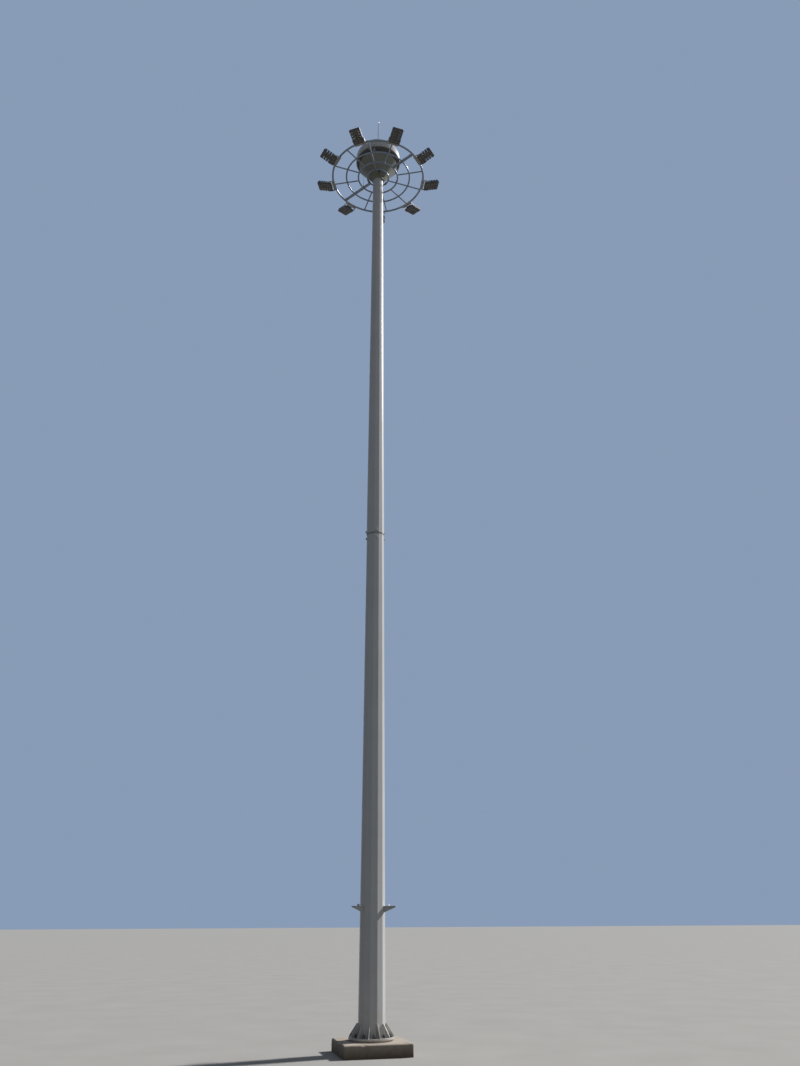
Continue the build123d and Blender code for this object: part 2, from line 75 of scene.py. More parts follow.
def arc(x, y, radius, start, end, count):
    # part of a circle in a plane: (x + r cos t, y + r sin t)
    t = np.radians(np.linspace(start, end, count))
    return points(x + radius * np.cos(t), y + radius * np.sin(t))


def shifted(x, y, z):
    return np.array(Matrix.Translation((x, y, z)))


def rotated(angle, axis):
    return np.array(Matrix.Rotation(np.radians(angle), 4, axis))


def turned(angle, reach=0.0, height=0.0, tilt=0.0):
    # place of a copy: tilted about its own Y, pushed out along X, then turned about the shaft
    return rotated(angle, "Z") @ shifted(reach, 0, height) @ rotated(tilt, "Y")


def around(angles, reach=0.0, height=0.0, tilt=0.0):
    return [turned(angle, reach, height, tilt) for angle in angles]


def pairs(angles, swing):
    # each angle as two, a swing to either side of it
    return [angle + way * swing for angle in angles for way in (-1, 1)]


def onSide(x, y, z):
    # place of a shape that stood on z = 0, laid on a face that looks along Y, away from the middle
    return shifted(x, y, z) @ rotated(-90 if y > 0 else 90, "X")


def surface(grid, wrapRows=False):
    # rows of points, each row a closed line, with one quad between four neighbours
    rows, columns = grid.shape[:2]
    i, j = np.meshgrid(np.arange(rows if wrapRows else rows - 1), np.arange(columns), indexing="ij")
    below, beside = (i + 1) % rows, (j + 1) % columns
    quads = points(i * columns + j, i * columns + beside, below * columns + beside, below * columns + j)
    return grid.reshape(-1, 3), quads.reshape(-1, 4)


def joined(*shapes):
    # several surfaces as one, each one's face indices moved past the points before it
    starts = np.cumsum([0] + [len(shape[0]) for shape in shapes[:-1]])
    quads = [shape[1] + start for shape, start in zip(shapes, starts)]
    return np.concatenate([shape[0] for shape in shapes]), np.concatenate(quads)


def copies(shape, places):
    # the same surface at several 4 by 4 places, all in one product
    spots, quads = shape
    places = np.asarray(places)
    moved = np.einsum("kab,nb->kna", places[:, :3, :3], spots) + places[:, None, :3, 3]
    steps = np.arange(len(places))[:, None, None] * len(spots)
    return moved.reshape(-1, 3), (quads[None] + steps).reshape(-1, 4)


def revolved(profile, steps):
    # a closed profile of (radius, height) carried round the Z axis
    radius, height = np.asarray(profile, float).T
    return surface(polar(loop(steps)[:, None], radius[None], height[None]), True)


def capped(grid, ends=None):
    # a tube of points closed by rows that shrink to the middle of its first and last
    if ends is None:
        ends = grid[[0, -1]].mean(axis=1, keepdims=True).repeat(grid.shape[1], 1)
    return surface(np.concatenate([ends[:1], grid, ends[1:]]))


def unit(vectors):
    return vectors / np.linalg.norm(vectors, axis=1, keepdims=True)


def swept(path, radius, sides, closed=False):
    # a round section carried along a path: centre + r (cos t * normal + sin t * second)
    path = np.asarray(path, float)
    ahead = np.roll(path, -1, 0) - np.roll(path, 1, 0)
    if not closed:
        ahead[0], ahead[-1] = path[1] - path[0], path[-1] - path[-2]
    ahead = unit(ahead)
    across = np.eye(3)[np.argmin(np.ptp(path, axis=0))] + 0.013     # never quite along the path
    normal = unit(np.cross(ahead, across))
    second = np.cross(ahead, normal)
    t = np.radians(loop(sides))[:, None]
    section = np.cos(t) * normal[:, None] + np.sin(t) * second[:, None]
    grid = path[:, None] + np.broadcast_to(radius, len(path))[:, None, None] * section
    return surface(grid, True) if closed else capped(grid)


def lattice(spots, size, seed, count=32):
    # value noise from 0 to 1: random numbers on a cubic lattice, blended with smooth steps
    table = np.random.default_rng(seed).random((count, count, count))
    cell = np.floor(spots / size).astype(int)
    share = spots / size - cell
    share = share * share * (3 - 2 * share)
    total = 0
    for corner in np.ndindex(2, 2, 2):
        weight = np.prod(np.where(corner, share, 1 - share), axis=-1)
        total = total + weight * table[tuple(((cell + corner) % count).T)]
    return total


near = {"made": 2e-6, "node": 1e-5, "sliver": 1e-7}      # points or edges within this become one


def makePiece(name, shape, finish, body, stands="", smooth=35):
    # points and quads into a mesh of one finish, on one body
    spots, quads = shape
    mesh = bpy.data.meshes.new(name)
    mesh.vertices.add(len(spots))
    mesh.vertices.foreach_set("co", np.asarray(spots, np.float32).ravel())
    mesh.loops.add(quads.size)
    mesh.loops.foreach_set("vertex_index", quads.astype(np.int32).ravel())
    mesh.polygons.add(len(quads))
    mesh.polygons.foreach_set("loop_start", np.arange(0, quads.size, 4, dtype=np.int32))
    mesh.update(calc_edges=True)
    return finishPiece(name, mesh, finish, body, stands, smooth)


def finishPiece(name, mesh, finish, body, stands, smooth):
    # poles and seams closed, faces outward, edges above an angle sharp
    work = bmesh.new()
    work.from_mesh(mesh)
    bmesh.ops.remove_doubles(work, verts=work.verts, dist=near["made"])
    bmesh.ops.dissolve_degenerate(work, edges=work.edges, dist=near["sliver"])
    bmesh.ops.recalc_face_normals(work, faces=work.faces)
    work.to_mesh(mesh)
    work.free()
    mesh.shade_smooth()
    mesh.set_sharp_from_angle(angle=np.radians(smooth))
    mesh.materials.append(finishes[finish])
    piece = bpy.data.objects.new(name, mesh)
    bpy.context.scene.collection.objects.link(piece)
    if body:
        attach(piece, body)
    if stands:
        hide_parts(stands)
    return piece


rounding = {
    "flat": 0.4,            # faces that turn less than this are one face
    "smooth": 30,
    "from": 28,             # edges that turn more than this are rounded
    "segments": 2,
}


def dressedNode(node, finish, body, edge, clamp=True):
    # a merged copy of a construction node, its flat faces made whole and its edges rounded
    work = bmesh.new()
    work.from_mesh(frame["nodes"][node].data)
    bmesh.ops.remove_doubles(work, verts=work.verts, dist=near["node"])
    flat = np.radians(rounding["flat"])
    bmesh.ops.dissolve_limit(work, angle_limit=flat, verts=work.verts, edges=work.edges)
    mesh = bpy.data.meshes.new(node + "Dressed")
    work.to_mesh(mesh)
    work.free()
    # the corner normals that came with the file no longer fit the merged faces
    if "custom_normal" in mesh.attributes:
        mesh.attributes.remove(mesh.attributes["custom_normal"])
    piece = finishPiece(node + "Dressed", mesh, finish, body, node, rounding["smooth"])
    bevel = piece.modifiers.new("roundedEdges", "BEVEL")
    bevel.width = edge
    bevel.segments = rounding["segments"]
    bevel.limit_method = "ANGLE"
    bevel.angle_limit = np.radians(rounding["from"])
    bevel.harden_normals = True
    bevel.use_clamp_overlap = clamp


# Nodes of the finishes. A helper finds its tree through the socket that it is given.


def connect(socket, value):
    # another node's output is linked, a number or colour is set on the socket itself
    if isinstance(value, bpy.types.NodeSocket):
        socket.id_data.links.new(value, socket)
    else:
        socket.default_value = (*value, 1) if socket.type == "RGBA" else value


def newNode(tree, kind, inputs, output, **settings):
    node = tree.nodes.new("ShaderNode" + kind)
    for name, value in settings.items():
        setattr(node, name, value)
    for name, value in inputs.items():
        connect(node.inputs[name], value)
    return node.outputs[output]


def objectSpace(tree, scale=(1, 1, 1)):
    place = newNode(tree, "TexCoord", {}, "Object")
    return newNode(tree, "Mapping", {"Vector": place, "Scale": scale}, "Vector")


def noise(vector, scale, detail=3.0, roughness=0.5):
    inputs = {"Vector": vector, "Scale": scale, "Detail": detail, "Roughness": roughness}
    return newNode(vector.id_data, "TexNoise", inputs, "Fac")


def cells(vector, scale, output="Distance"):
    return newNode(vector.id_data, "TexVoronoi", {"Vector": vector, "Scale": scale}, output)


def between(value, low, high, toLow=0.0, toHigh=1.0):
    # a value stretched from one range to another and held inside it
    inputs = {"Value": value, "From Min": low, "From Max": high, "To Min": toLow, "To Max": toHigh}
    return newNode(value.id_data, "MapRange", inputs, "Result")


def combine(operation, first, second):
    return newNode(first.id_data, "Math", {0: first, 1: second}, "Value", operation=operation)


def along(vector, axis):
    return newNode(vector.id_data, "SeparateXYZ", {"Vector": vector}, axis)


def blend(factor, first, second):
    # inputs 6 and 7 and output 2 of the Mix node are its colours
    inputs = {"Factor": factor, 6: first, 7: second}
    return newNode(factor.id_data, "Mix", inputs, 2, data_type="RGBA")


def relief(height, distance, strength=0.5):
    inputs = {"Height": height, "Distance": distance, "Strength": strength}
    return newNode(height.id_data, "Bump", inputs, "Normal")


def newFinish(name):
    material = bpy.data.materials.new(name)
    material.use_nodes = True
    return material, objectSpace(material.node_tree)


def shade(material, coat, rough, metal=0.0, **others):
    # colour, roughness and metal, and by their short names the sockets that only some finishes set
    names = {"normal": "Normal", "specular": "Specular IOR Level", "clearCoat": "Coat Weight"}
    sockets = {"Base Color": coat, "Roughness": rough, "Metallic": metal}
    for name, value in others.items():
        sockets[names[name]] = value
    shader = material.node_tree.nodes["Principled BSDF"]
    for name, value in sockets.items():
        connect(shader.inputs[name], value)
    return material


# Finishes

steel = {
    "streaks": (9.0, 9.0, 0.35),    # scale of the rain streaks: fine across, long down the shaft
    "splashTop": 0.55,              # height up to which soil has splashed
    "splash": (0.42, 0.35, 0.27),
    "dirt": (0.30, 0.29, 0.27),
    "jointFoot": 11.825,            # a darker band reaches this far down from the sleeve's edge
    "joint": 11.900,
    "jointBand": (0.13, 0.12, 0.11),
}


def paintedSteel(name, colour, rough, dirt, mottle, metal=0.0, splashed=False):
    # coat over steel: broad mottle, rain streaks down the shaft, fine grain, soil near the ground
    material, here = newFinish(name)
    streaks = noise(objectSpace(material.node_tree, steel["streaks"]), 2.2, 5, 0.6)
    grain = noise(here, 260, 2)
    dark = tuple(channel * (1 - 2 * mottle) for channel in colour)
    coat = blend(between(noise(here, 1.7, 4), 0.35, 0.68), dark, colour)
    coat = blend(between(streaks, 0.55, 0.78, 0, dirt), coat, steel["dirt"])
    if splashed:
        height = along(here, "Z")
        spread = combine("MULTIPLY", noise(here, 9, 5, 0.65), 0.9)
        soil = between(combine("SUBTRACT", height, spread), -0.25, steel["splashTop"], 0.42, 0)
        coat = blend(soil, coat, steel["splash"])
        # a darker band just below the sleeve's edge, broken up by noise
        joint = between(height, steel["jointFoot"], steel["joint"])
        joint = combine("MULTIPLY", joint, combine("LESS_THAN", height, steel["joint"]))
        bandBreaks = between(noise(here, 26, 4, 0.6), 0.3, 0.6, 0.35, 0.85)
        coat = blend(combine("MULTIPLY", joint, bandBreaks), coat, steel["jointBand"])
    gloss = between(combine("ADD", streaks, grain), 0.6, 1.4, rough - 0.07, rough + 0.14)
    return shade(material, coat, gloss, metal, normal=relief(grain, 0.0002))


zinc = {"darkest": 0.72, "stain": (0.33, 0.32, 0.30), "metal": 0.75}


def galvanised(name, colour, rough=0.42, scale=55):
    # crystals of slightly different grey and gloss, stained in patches
    material, here = newFinish(name)
    crystal = cells(here, scale, "Color")
    dull = tuple(channel * zinc["darkest"] for channel in colour)
    coat = blend(between(along(crystal, "X"), 0, 1, 0, 0.35), colour, dull)
    coat = blend(between(noise(here, 14, 4, 0.6), 0.56, 0.75, 0, 0.5), coat, zinc["stain"])
    gloss = between(along(crystal, "Y"), 0, 1, rough - 0.08, rough + 0.12)
    return shade(material, coat, gloss, zinc["metal"], normal=relief(noise(here, 420, 2), 0.0001))


polished = {
    "from": 27.250,         # heights between which the bar turns into the ball
    "to": 27.262,
    "ball": (0.93, 0.94, 0.95),
    "bar": ((0.34, 0.38, 0.45), (0.27, 0.30, 0.35)),
}


def rodSteel(name):
    # weathered grey bar under a polished ball
    material, here = newFinish(name)
    ball = between(along(here, "Z"), polished["from"], polished["to"])
    bar = blend(between(noise(here, 40, 4, 0.6), 0.4, 0.7), *polished["bar"])
    metal = between(ball, 0, 1, 0.10, 1.0)
    return shade(material, blend(ball, bar, polished["ball"]), between(ball, 0, 1, 0.60, 0.22), metal)


shell = {
    "white": (0.76, 0.76, 0.75),
    "marks": (0.54, 0.53, 0.50),
    "dust": (0.50, 0.48, 0.44),
    "dustFrom": 25.40,
    "dustTo": 25.50,
}


def hoodWhite(name):
    # glossy white shell with faint rain marks running down from the crown and a dusty rim
    material, here = newFinish(name)
    rain = noise(objectSpace(material.node_tree, (7, 7, 0.8)), 2.0, 6, 0.62)
    coat = blend(between(rain, 0.52, 0.78, 0, 0.45), shell["white"], shell["marks"])
    dust = between(along(here, "Z"), shell["dustFrom"], shell["dustTo"], 0.35, 0)
    coat = blend(dust, coat, shell["dust"])
    gloss = between(noise(here, 30, 3), 0.3, 0.7, 0.32, 0.44)
    return shade(material, coat, gloss, specular=0.3, normal=relief(noise(here, 18, 2), 0.0006, 0.4))


cast = {
    "stone": (0.36, 0.33, 0.29),
    "sand": (0.78, 0.73, 0.66),
    "hole": (0.20, 0.18, 0.16),
    "soil": (0.20, 0.15, 0.105),
    "soilTop": 0.17,
}


def concrete(name, colour, dark, aggregate=70, pores=38):
    # cloudy tone, sand and stones, small air holes, damp and soil towards the ground
    material, here = newFinish(name)
    clouds, sand = noise(here, 3.1, 6, 0.62), noise(here, 330, 2, 0.7)
    stones = along(cells(here, aggregate, "Color"), "X")
    coat = blend(between(clouds, 0.32, 0.7), dark, colour)
    coat = blend(between(stones, 0.55, 1, 0, 0.30), coat, cast["stone"])
    coat = blend(between(sand, 0.45, 0.7, 0, 0.35), coat, cast["sand"])
    rare = between(noise(here, 11, 2), 0.5, 0.56)
    holes = combine("MULTIPLY", between(cells(here, pores), 0.05, 0.13, 1, 0), rare)
    coat = blend(holes, coat, cast["hole"])
    wander = combine("MULTIPLY", noise(here, 7, 5, 0.6), 0.16)
    soil = between(combine("SUBTRACT", along(here, "Z"), wander), -0.04, cast["soilTop"], 0.9, 0)
    coat = blend(soil, coat, cast["soil"])
    rise = relief(combine("SUBTRACT", combine("MULTIPLY", sand, 0.5), holes), 0.002, 0.7)
    return shade(material, coat, between(clouds, 0.3, 0.7, 0.78, 0.95), specular=0.3, normal=rise)


trim = {
    "rust": (0.15, 0.10, 0.07),
    "casting": (0.098, 0.104, 0.118),
    "dust": (0.34, 0.32, 0.29),
    "tray": (0.060, 0.060, 0.064),
    "haze": (0.15, 0.145, 0.14),
    "lenses": ((0.26, 0.265, 0.27), (0.38, 0.38, 0.36)),
    "rubber": (0.030, 0.030, 0.031),
    "scuff": (0.12, 0.115, 0.11),
}


def boltSteel(name, colour):
    # dull plated steel, browned in patches
    material, here = newFinish(name)
    patches = between(noise(here, 60, 5, 0.65), 0.50, 0.68, 0, 0.70)
    coat = blend(patches, colour, trim["rust"])
    gloss = between(patches, 0, 0.75, 0.38, 0.75)
    return shade(material, coat, gloss, 0.7, normal=relief(noise(here, 700, 2), 0.0001))


def castBlack(name):
    # powder coat on a casting: fine orange peel and a little dust
    material, here = newFinish(name)
    dust = between(noise(here, 9, 5, 0.6), 0.48, 0.75, 0, 0.30)
    coat = blend(dust, trim["casting"], trim["dust"])
    gloss = between(dust, 0, 0.3, 0.40, 0.62)
    return shade(material, coat, gloss, 0.2, normal=relief(noise(here, 900, 2), 0.00012, 0.6))


def lensTray(name):
    # dark moulded tray behind the lenses, slightly glossy
    material, here = newFinish(name)
    haze = between(noise(here, 22, 4), 0.4, 0.7, 0, 0.25)
    coat = blend(haze, trim["tray"], trim["haze"])
    return shade(material, coat, between(haze, 0, 0.25, 0.16, 0.34), clearCoat=0.3)


def lensClear(name):
    # moulded lenses over light chips: grey, glossy, some paler than others
    material, here = newFinish(name)
    tint = between(noise(here, 60, 3), 0.4, 0.6)
    return shade(material, blend(tint, *trim["lenses"]), 0.16, clearCoat=0.5)


def rubber(name):
    # black rubber, scuffed grey in patches
    material, here = newFinish(name)
    scuff = between(noise(here, 45, 4, 0.6), 0.5, 0.7, 0, 0.6)
    coat = blend(scuff, trim["rubber"], trim["scuff"])
    gloss = between(scuff, 0, 0.6, 0.62, 0.85)
    return shade(material, coat, gloss, normal=relief(noise(here, 500, 2), 0.0003))


finishes = {
    "concrete": concrete("concreteCast", (0.66, 0.57, 0.49), (0.47, 0.39, 0.32)),
    "grout": concrete("groutTrowelled", (0.62, 0.59, 0.54), (0.46, 0.43, 0.39), 180, 60),
    "shaft": paintedSteel("shaftCoat", (0.79, 0.80, 0.80), 0.29, 0.16, 0.03, splashed=True),
    "base": paintedSteel("baseCoat", (0.74, 0.75, 0.75), 0.38, 0.22, 0.05, splashed=True),
    # darker and bluer than the ring's light grey zinc: painted shade and sky light on its undersides
    "ring": paintedSteel("ringCoat", (0.31, 0.36, 0.45), 0.27, 0.20, 0.06, metal=0.32),
    "yoke": paintedSteel("yokeCoat", (0.78, 0.79, 0.80), 0.32, 0.18, 0.04),
    # dark olive in place of the cone's grey coat: painted shade and painted bounce light from the ground
    "cone": paintedSteel("coneCoat", (0.40, 0.40, 0.33), 0.50, 0.5, 0.10),
    "head": galvanised("headZinc", (0.52, 0.53, 0.54)),
    "hood": hoodWhite("hoodWhite"),
    "rod": rodSteel("rodSteel"),
    "wire": galvanised("wireZinc", (0.50, 0.50, 0.51), 0.40, 300),
    "bolt": boltSteel("boltPlated", (0.30, 0.30, 0.31)),
    "anchor": boltSteel("anchorPlated", (0.10, 0.10, 0.105)),
    "rubber": rubber("rollerRubber"),
    "lamp": castBlack("lampCoat"),
    "optic": lensTray("opticTray"),
    "lens": lensClear("lensClear"),
}
print("finishes made")

# Shaft: twelve flats with bent corners, tapering evenly, each length a closed tube

shaft = {
    "sides": 12,
    "taper": 0.00575,       # loss of radius for each metre of height
    "bend": 0.040,          # outside radius of the bent corners
    "bendSteps": 5,
    "flatStep": 0.007,      # a point on the flat beside each bend, which keeps the flat's shading level
    "lowerWall": 0.008,
    "upperWall": 0.006,
    "rows": 26,
    "rim": 0.0015,
}
side = 360 / shaft["sides"]
flatRatio = np.cos(np.radians(side / 2))


def twelveSided(flats):
    # one outline for each distance to the flats: every corner is an arc of the bend's radius about a
    # point on the corner's line, with one more point on the flat at either end
    corner = side / 2 + loop(shaft["sides"])
    turns = corner[:, None] + np.linspace(-side / 2, side / 2, shaft["bendSteps"])
    centre = ((flats - shaft["bend"]) / flatRatio)[:, None, None, None] * polar(corner, 1.0, 0.0)[:, None]
    bend = centre + shaft["bend"] * polar(turns, 1.0, 0.0)
    step = polar(turns[:, [0, -1]] + np.array([-90, 90]), shaft["flatStep"], 0.0)
    outline = np.concatenate([bend[:, :, :1] + step[:, :1], bend, bend[:, :, -1:] + step[:, 1:]], axis=2)
    return outline.reshape(len(flats), -1, 3)


def shaftLength(corner, low, high, wall):
    # closed loop of heights and distances to the flats: up the outside, over the rim, down the inside
    rise, rim = np.linspace(low, high, shaft["rows"]), shaft["rim"]
    outside = (corner - shaft["taper"] * (rise - low)) * flatRatio
    inside = outside - wall
    heights = np.concatenate([[low + rim], rise[1:-1], [high - rim, high], rise[::-1], [low]])
    grid = twelveSided(np.concatenate([outside, [outside[-1] - rim], inside[::-1], [outside[0] - rim]]))
    grid[..., 2] = heights[:, None]
    return surface(grid, True)


def shaftEnds(node):
    # radius to the corners at the foot, and the heights of the two ends
    low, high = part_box(node)
    return (high[0] - low[0]) / 2 / flatRatio, low[2], high[2]


lowerCorner, shaftFoot, lowerTop = shaftEnds("lower_shaft")
upperCorner, sleeveEdge, shaftTop = shaftEnds("upper_shaft")
lowerLength = shaftLength(lowerCorner, shaftFoot, lowerTop, shaft["lowerWall"])
upperLength = shaftLength(upperCorner, sleeveEdge, shaftTop, shaft["upperWall"])
makePiece("lowerShaft", lowerLength, "shaft", "mast", "lower_shaft", smooth=12)
makePiece("upperShaft", upperLength, "shaft", "mast", "upper_shaft", smooth=12)
print("shaft made")

# Hood, cone and rod

hood = {
    "radius": 0.720,
    "rim": 25.390,
    "skirt": 0.160,
    "rise": 0.540,
    "shoulder": 0.400,      # radius of the turn from the skirt into the crown
    "wall": 0.005,
    "lip": 0.022,
    "roll": 0.004,          # radius of the lip's rolled edge
    "arcSteps": 16,
    "steps": 144,
}
crownTop = hood["rim"] + hood["skirt"] + hood["rise"]


def domeLine(inset):
    # up the skirt, round the shoulder's arc and over the crown's arc to the axis; the arcs share a tangent
    reach, rise, shoulder = hood["radius"] - hood["shoulder"], hood["rise"], hood["shoulder"]
    crown = (reach**2 + rise**2 - shoulder**2) / (2 * (rise - shoulder))
    meet = np.degrees(np.arctan2(crown - rise, reach))
    top = hood["rim"] + hood["skirt"]
    skirt = points(hood["radius"] - inset, np.linspace(hood["rim"] + hood["wall"], top, 5)[:-1])
    turn = arc(reach, top, shoulder - inset, 0, meet, hood["arcSteps"])
    dome = arc(0, crownTop - crown, crown - inset, meet, 90, hood["arcSteps"])[1:]
    return np.maximum(np.concatenate([skirt, turn, dome]), 0)


def hoodShell():
    # outside line up, inside line down, then out along the lip to the rolled rim
    low, roll, half = hood["rim"], hood["roll"], hood["wall"] / 2
    lip = arc(hood["radius"] - hood["wall"] - hood["lip"], low + half, half, 90, 270, 7)
    edge = arc(hood["radius"] - roll, low + roll, roll, 270, 360, 5)
    return revolved(np.concatenate([domeLine(0), domeLine(hood["wall"])[::-1], lip, edge]), hood["steps"])


cone = {
    "footRadius": 0.190,
    "foot": 24.650,
    "collar": 0.040,
    "rimRadius": 0.620,
    "rim": 25.250,
    "wall": 0.005,
    "bore": 0.1535,         # inside the wall of the shaft
    "footEdge": 0.002,
    "rimEdge": 0.001,
    "steps": 120,
}


def coneShell():
    # collar, flared wall and eased rim outside, then back down the inside to the bore
    radius, foot, wall, edge = cone["footRadius"], cone["foot"], cone["wall"], cone["footEdge"]
    low = foot - cone["collar"]
    outside = np.linspace((radius, foot), (cone["rimRadius"], cone["rim"] - cone["rimEdge"]), 9)
    inside = (outside - (wall, 0))[::-1]
    inside[0, 1] = cone["rim"]
    collar = [(cone["bore"], low), (radius - edge, low), (radius, low + edge)]
    lip = [(cone["rimRadius"] - cone["rimEdge"], cone["rim"])]
    floor = [(radius - wall, foot + wall), (cone["bore"], foot + wall)]
    return revolved(np.concatenate([collar, outside, lip, inside[:-1], floor]), cone["steps"])


rod = {
    "socketRadius": 0.034,
    "socketHeight": 0.070,
    "shoulder": 0.008,
    "radius": 0.016,
    "flare": 0.002,         # fillet at the socket
    "tipRadius": 0.009,
    "ball": 0.035,
    "top": 27.330,
    "steps": 32,
}


def rodBar():
    # socket with a rounded shoulder, tapered rod, ball: radii and heights up from the crown
    socket, soft, flare = crownTop + rod["socketHeight"], rod["shoulder"], rod["flare"]
    foot = [(0, crownTop), (rod["socketRadius"], crownTop)]
    shoulder = arc(rod["socketRadius"] - soft, socket - soft, soft, 0, 90, 6)
    bar = [(rod["radius"] + flare, socket), (rod["radius"], socket + 2 * flare)]
    meet = np.degrees(np.arcsin(rod["tipRadius"] / rod["ball"]))
    ball = arc(0, rod["top"] - rod["ball"], rod["ball"], meet - 90, 90, 18)
    ball[-1, 0] = 0
    return revolved(np.concatenate([foot, shoulder, bar, ball]), rod["steps"])


makePiece("hoodShell", hoodShell(), "hood", "mast", "hood", smooth=40)
makePiece("coneShell", coneShell(), "cone", "mast", "head_cone", smooth=30)
makePiece("lightningRodBar", rodBar(), "rod", "mast", "lightning_rod", smooth=40)
print("head made")

# Lamp ring: hoops and spokes of round tube with a bead of weld at each joint

ring = {
    "height": 24.750,
    "hoops": {                  # radius of the hoop and of its tube
        "outer_ring": (1.475, 0.030),
        "middle_ring": (1.030, 0.025),
        "inner_ring": (0.640, 0.025),
        "guide_ring": (0.345, 0.025),
    },
    "hoopSteps": 160,           # for each metre of radius
    "tubeSides": 20,
    "spokeTube": 0.021,
    "spokeFirst": 11.0,
    "spokeCount": 12,
    "sunk": 0.002,              # the ends of a spoke reach this far into the hoops
    "splitAt": 131.0,           # the halves of the ring meet here and opposite
    "splitOffset": 0.026,
    "armAngles": (11.0, 131.0, 251.0),
    "bead": 0.0045,
    "beadOut": 0.0008,
    "beadSides": 6,
    "beadSteps": 28,
    "beadWaves": 9,
    "beadWave": 0.02,
}


def circle(radius, count):
    t = np.radians(loop(count))
    return radius * np.cos(t), radius * np.sin(t)


def hoopTube(radius, tube):
    # circle of the tube's section carried round the shaft
    x, z = circle(tube, ring["tubeSides"])
    return revolved(points(radius + x, ring["height"] + z), int(radius * ring["hoopSteps"]))


def hoopFace(hoop, y, z, way):
    # distance along X at which a bar at (y, z) meets the hoop's tube, on its outer (1) or inner side (-1)
    radius, tube = hoop
    return np.sqrt((radius + way * np.sqrt(tube**2 - z**2)) ** 2 - y**2)


def spokeBar(inner, outer, offset):
    # straight tube whose two ends follow the hoops it is welded to, and the two beads of weld
    y, z = circle(ring["spokeTube"], ring["tubeSides"])
    start = hoopFace(inner, y + offset, z, 1) - ring["sunk"]
    end = hoopFace(outer, y + offset, z, -1) + ring["sunk"]
    bar = capped(np.stack([points(start, y, z), points(end, y, z)]))
    wave = 1 + ring["beadWave"] * np.sin(ring["beadWaves"] * np.radians(loop(ring["beadSteps"])))
    y, z = circle((ring["spokeTube"] + ring["beadOut"]) * wave, ring["beadSteps"])
    lines = [points(hoopFace(hoop, y + offset, z, way), y, z) for hoop, way in ((inner, 1), (outer, -1))]
    return bar, joined(*(swept(line, ring["bead"], ring["beadSides"], True) for line in lines))


def spokeSet(inner, outer, angles):
    # a spoke at each angle, two side by side where the halves of the ring meet
    bars, beads = [], []
    for angle in angles:
        doubled = abs((angle - ring["splitAt"]) % 180) < 1
        for offset in (-ring["splitOffset"], ring["splitOffset"]) if doubled else (0.0,):
            place = [turned(angle) @ shifted(0, offset, ring["height"])]
            bar, bead = spokeBar(ring["hoops"][inner], ring["hoops"][outer], offset)
            bars.append(copies(bar, place))
            beads.append(copies(bead, place))
    return joined(*bars), joined(*beads)


for node, (radius, tube) in ring["hoops"].items():
    name = node.split("_")[0] + "Hoop"
    makePiece(name, hoopTube(radius, tube), "ring", "lamp_ring", node)

everySpoke = ring["spokeFirst"] + loop(ring["spokeCount"])
ringWelds = []
for name, node, inner, outer, angles in (
    ("outerSpokeBars", "outer_spokes", "middle_ring", "outer_ring", everySpoke),
    ("innerSpokeBars", "inner_spokes", "inner_ring", "middle_ring", everySpoke),
    ("guideArmBars", "guide_arms", "guide_ring", "inner_ring", ring["armAngles"]),
):
    bars, beads = spokeSet(inner, outer, angles)
    makePiece(name, bars, "ring", "lamp_ring", node)
    ringWelds.append(beads)
makePiece("ringWelds", joined(*ringWelds), "ring", "lamp_ring", smooth=60)
print("lamp ring made")

# Screws and nuts, used all over

nut = {
    "cone": 30.0,           # angle of the turned cone that cuts back the corners
    "face": 0.985,          # radius of its flat end, as a share of the flat's distance
    "reach": 1.6,
    "steps": 36,
}


def hexBar(flats, low, high, hole=0.0):
    # hexagon prism: radius is the flat's distance over cos of the angle to it, held inside the cone
    cut = np.tan(np.radians(nut["cone"]))
    hexagon = flats / 2 / np.cos(np.radians((loop(nut["steps"]) + 30) % 60 - 30))
    depth = flats / 2 * (1 / np.cos(np.radians(30)) - 1)
    drop = cut * depth * nut["reach"]
    rows = np.array([low, low, low + drop / 2, low + drop, high - drop, high - drop / 2, high, high])
    limit = flats / 2 * nut["face"] + np.minimum(rows - low, high - rows) / cut
    radius = np.minimum(hexagon[None], limit[:, None])
    radius[[0, -1]] = hole
    return surface(polar(loop(nut["steps"])[None], radius, rows[:, None]), hole > 0)


def disc(radius, low, high, hole=0.0, edge=0.0006, steps=28):
    # washer: flat faces, eased edges, revolved about Z
    foot = [(hole, low), (radius - edge, low), (radius, low + edge)]
    return revolved(foot + [(radius, high - edge), (radius - edge, high), (hole, high)], steps)


def domedHead(radius, height):
    # low head standing on z = 0: its radius shrinks to nothing as the height rises
    share = np.array([1.0, 1.0, 0.9, 0.6, 0.0])[:, None]
    rise = height * np.array([0.0, 0.55, 0.8, 0.97, 1.0])[:, None]
    return surface(polar(loop(12)[None], radius * share, rise))


def bolt(flats, height, washer, hole=0.002, washerHeight=0.002):
    # washer and hexagon head standing on z = 0
    head = hexBar(flats, washerHeight, washerHeight + height)
    return joined(disc(washer, 0.0, washerHeight, hole), head)


thread = {"depth": 0.55, "end": 0.88, "steps": 18, "perTurn": 6}      # depth as a share of the pitch


def threadedBar(radius, low, high, pitch):
    # radius falls and rises once for each pitch of height, its phase turning with the angle
    angle = loop(thread["steps"])[None]
    height = np.linspace(low, high, int((high - low) / pitch * thread["perTurn"]) + 1)[:, None]
    phase = (height / pitch - angle / 360) % 1
    body = radius - thread["depth"] * pitch * np.abs(2 * phase - 1)
    taper = thread["end"] + (1 - thread["end"]) * np.clip((high - height) / pitch, 0, 1)
    grid = polar(angle, body * taper, height)
    return capped(grid, grid[[0, -1]] * (0, 0, 1))


# Foot: anchor bolts, weld beads, concrete

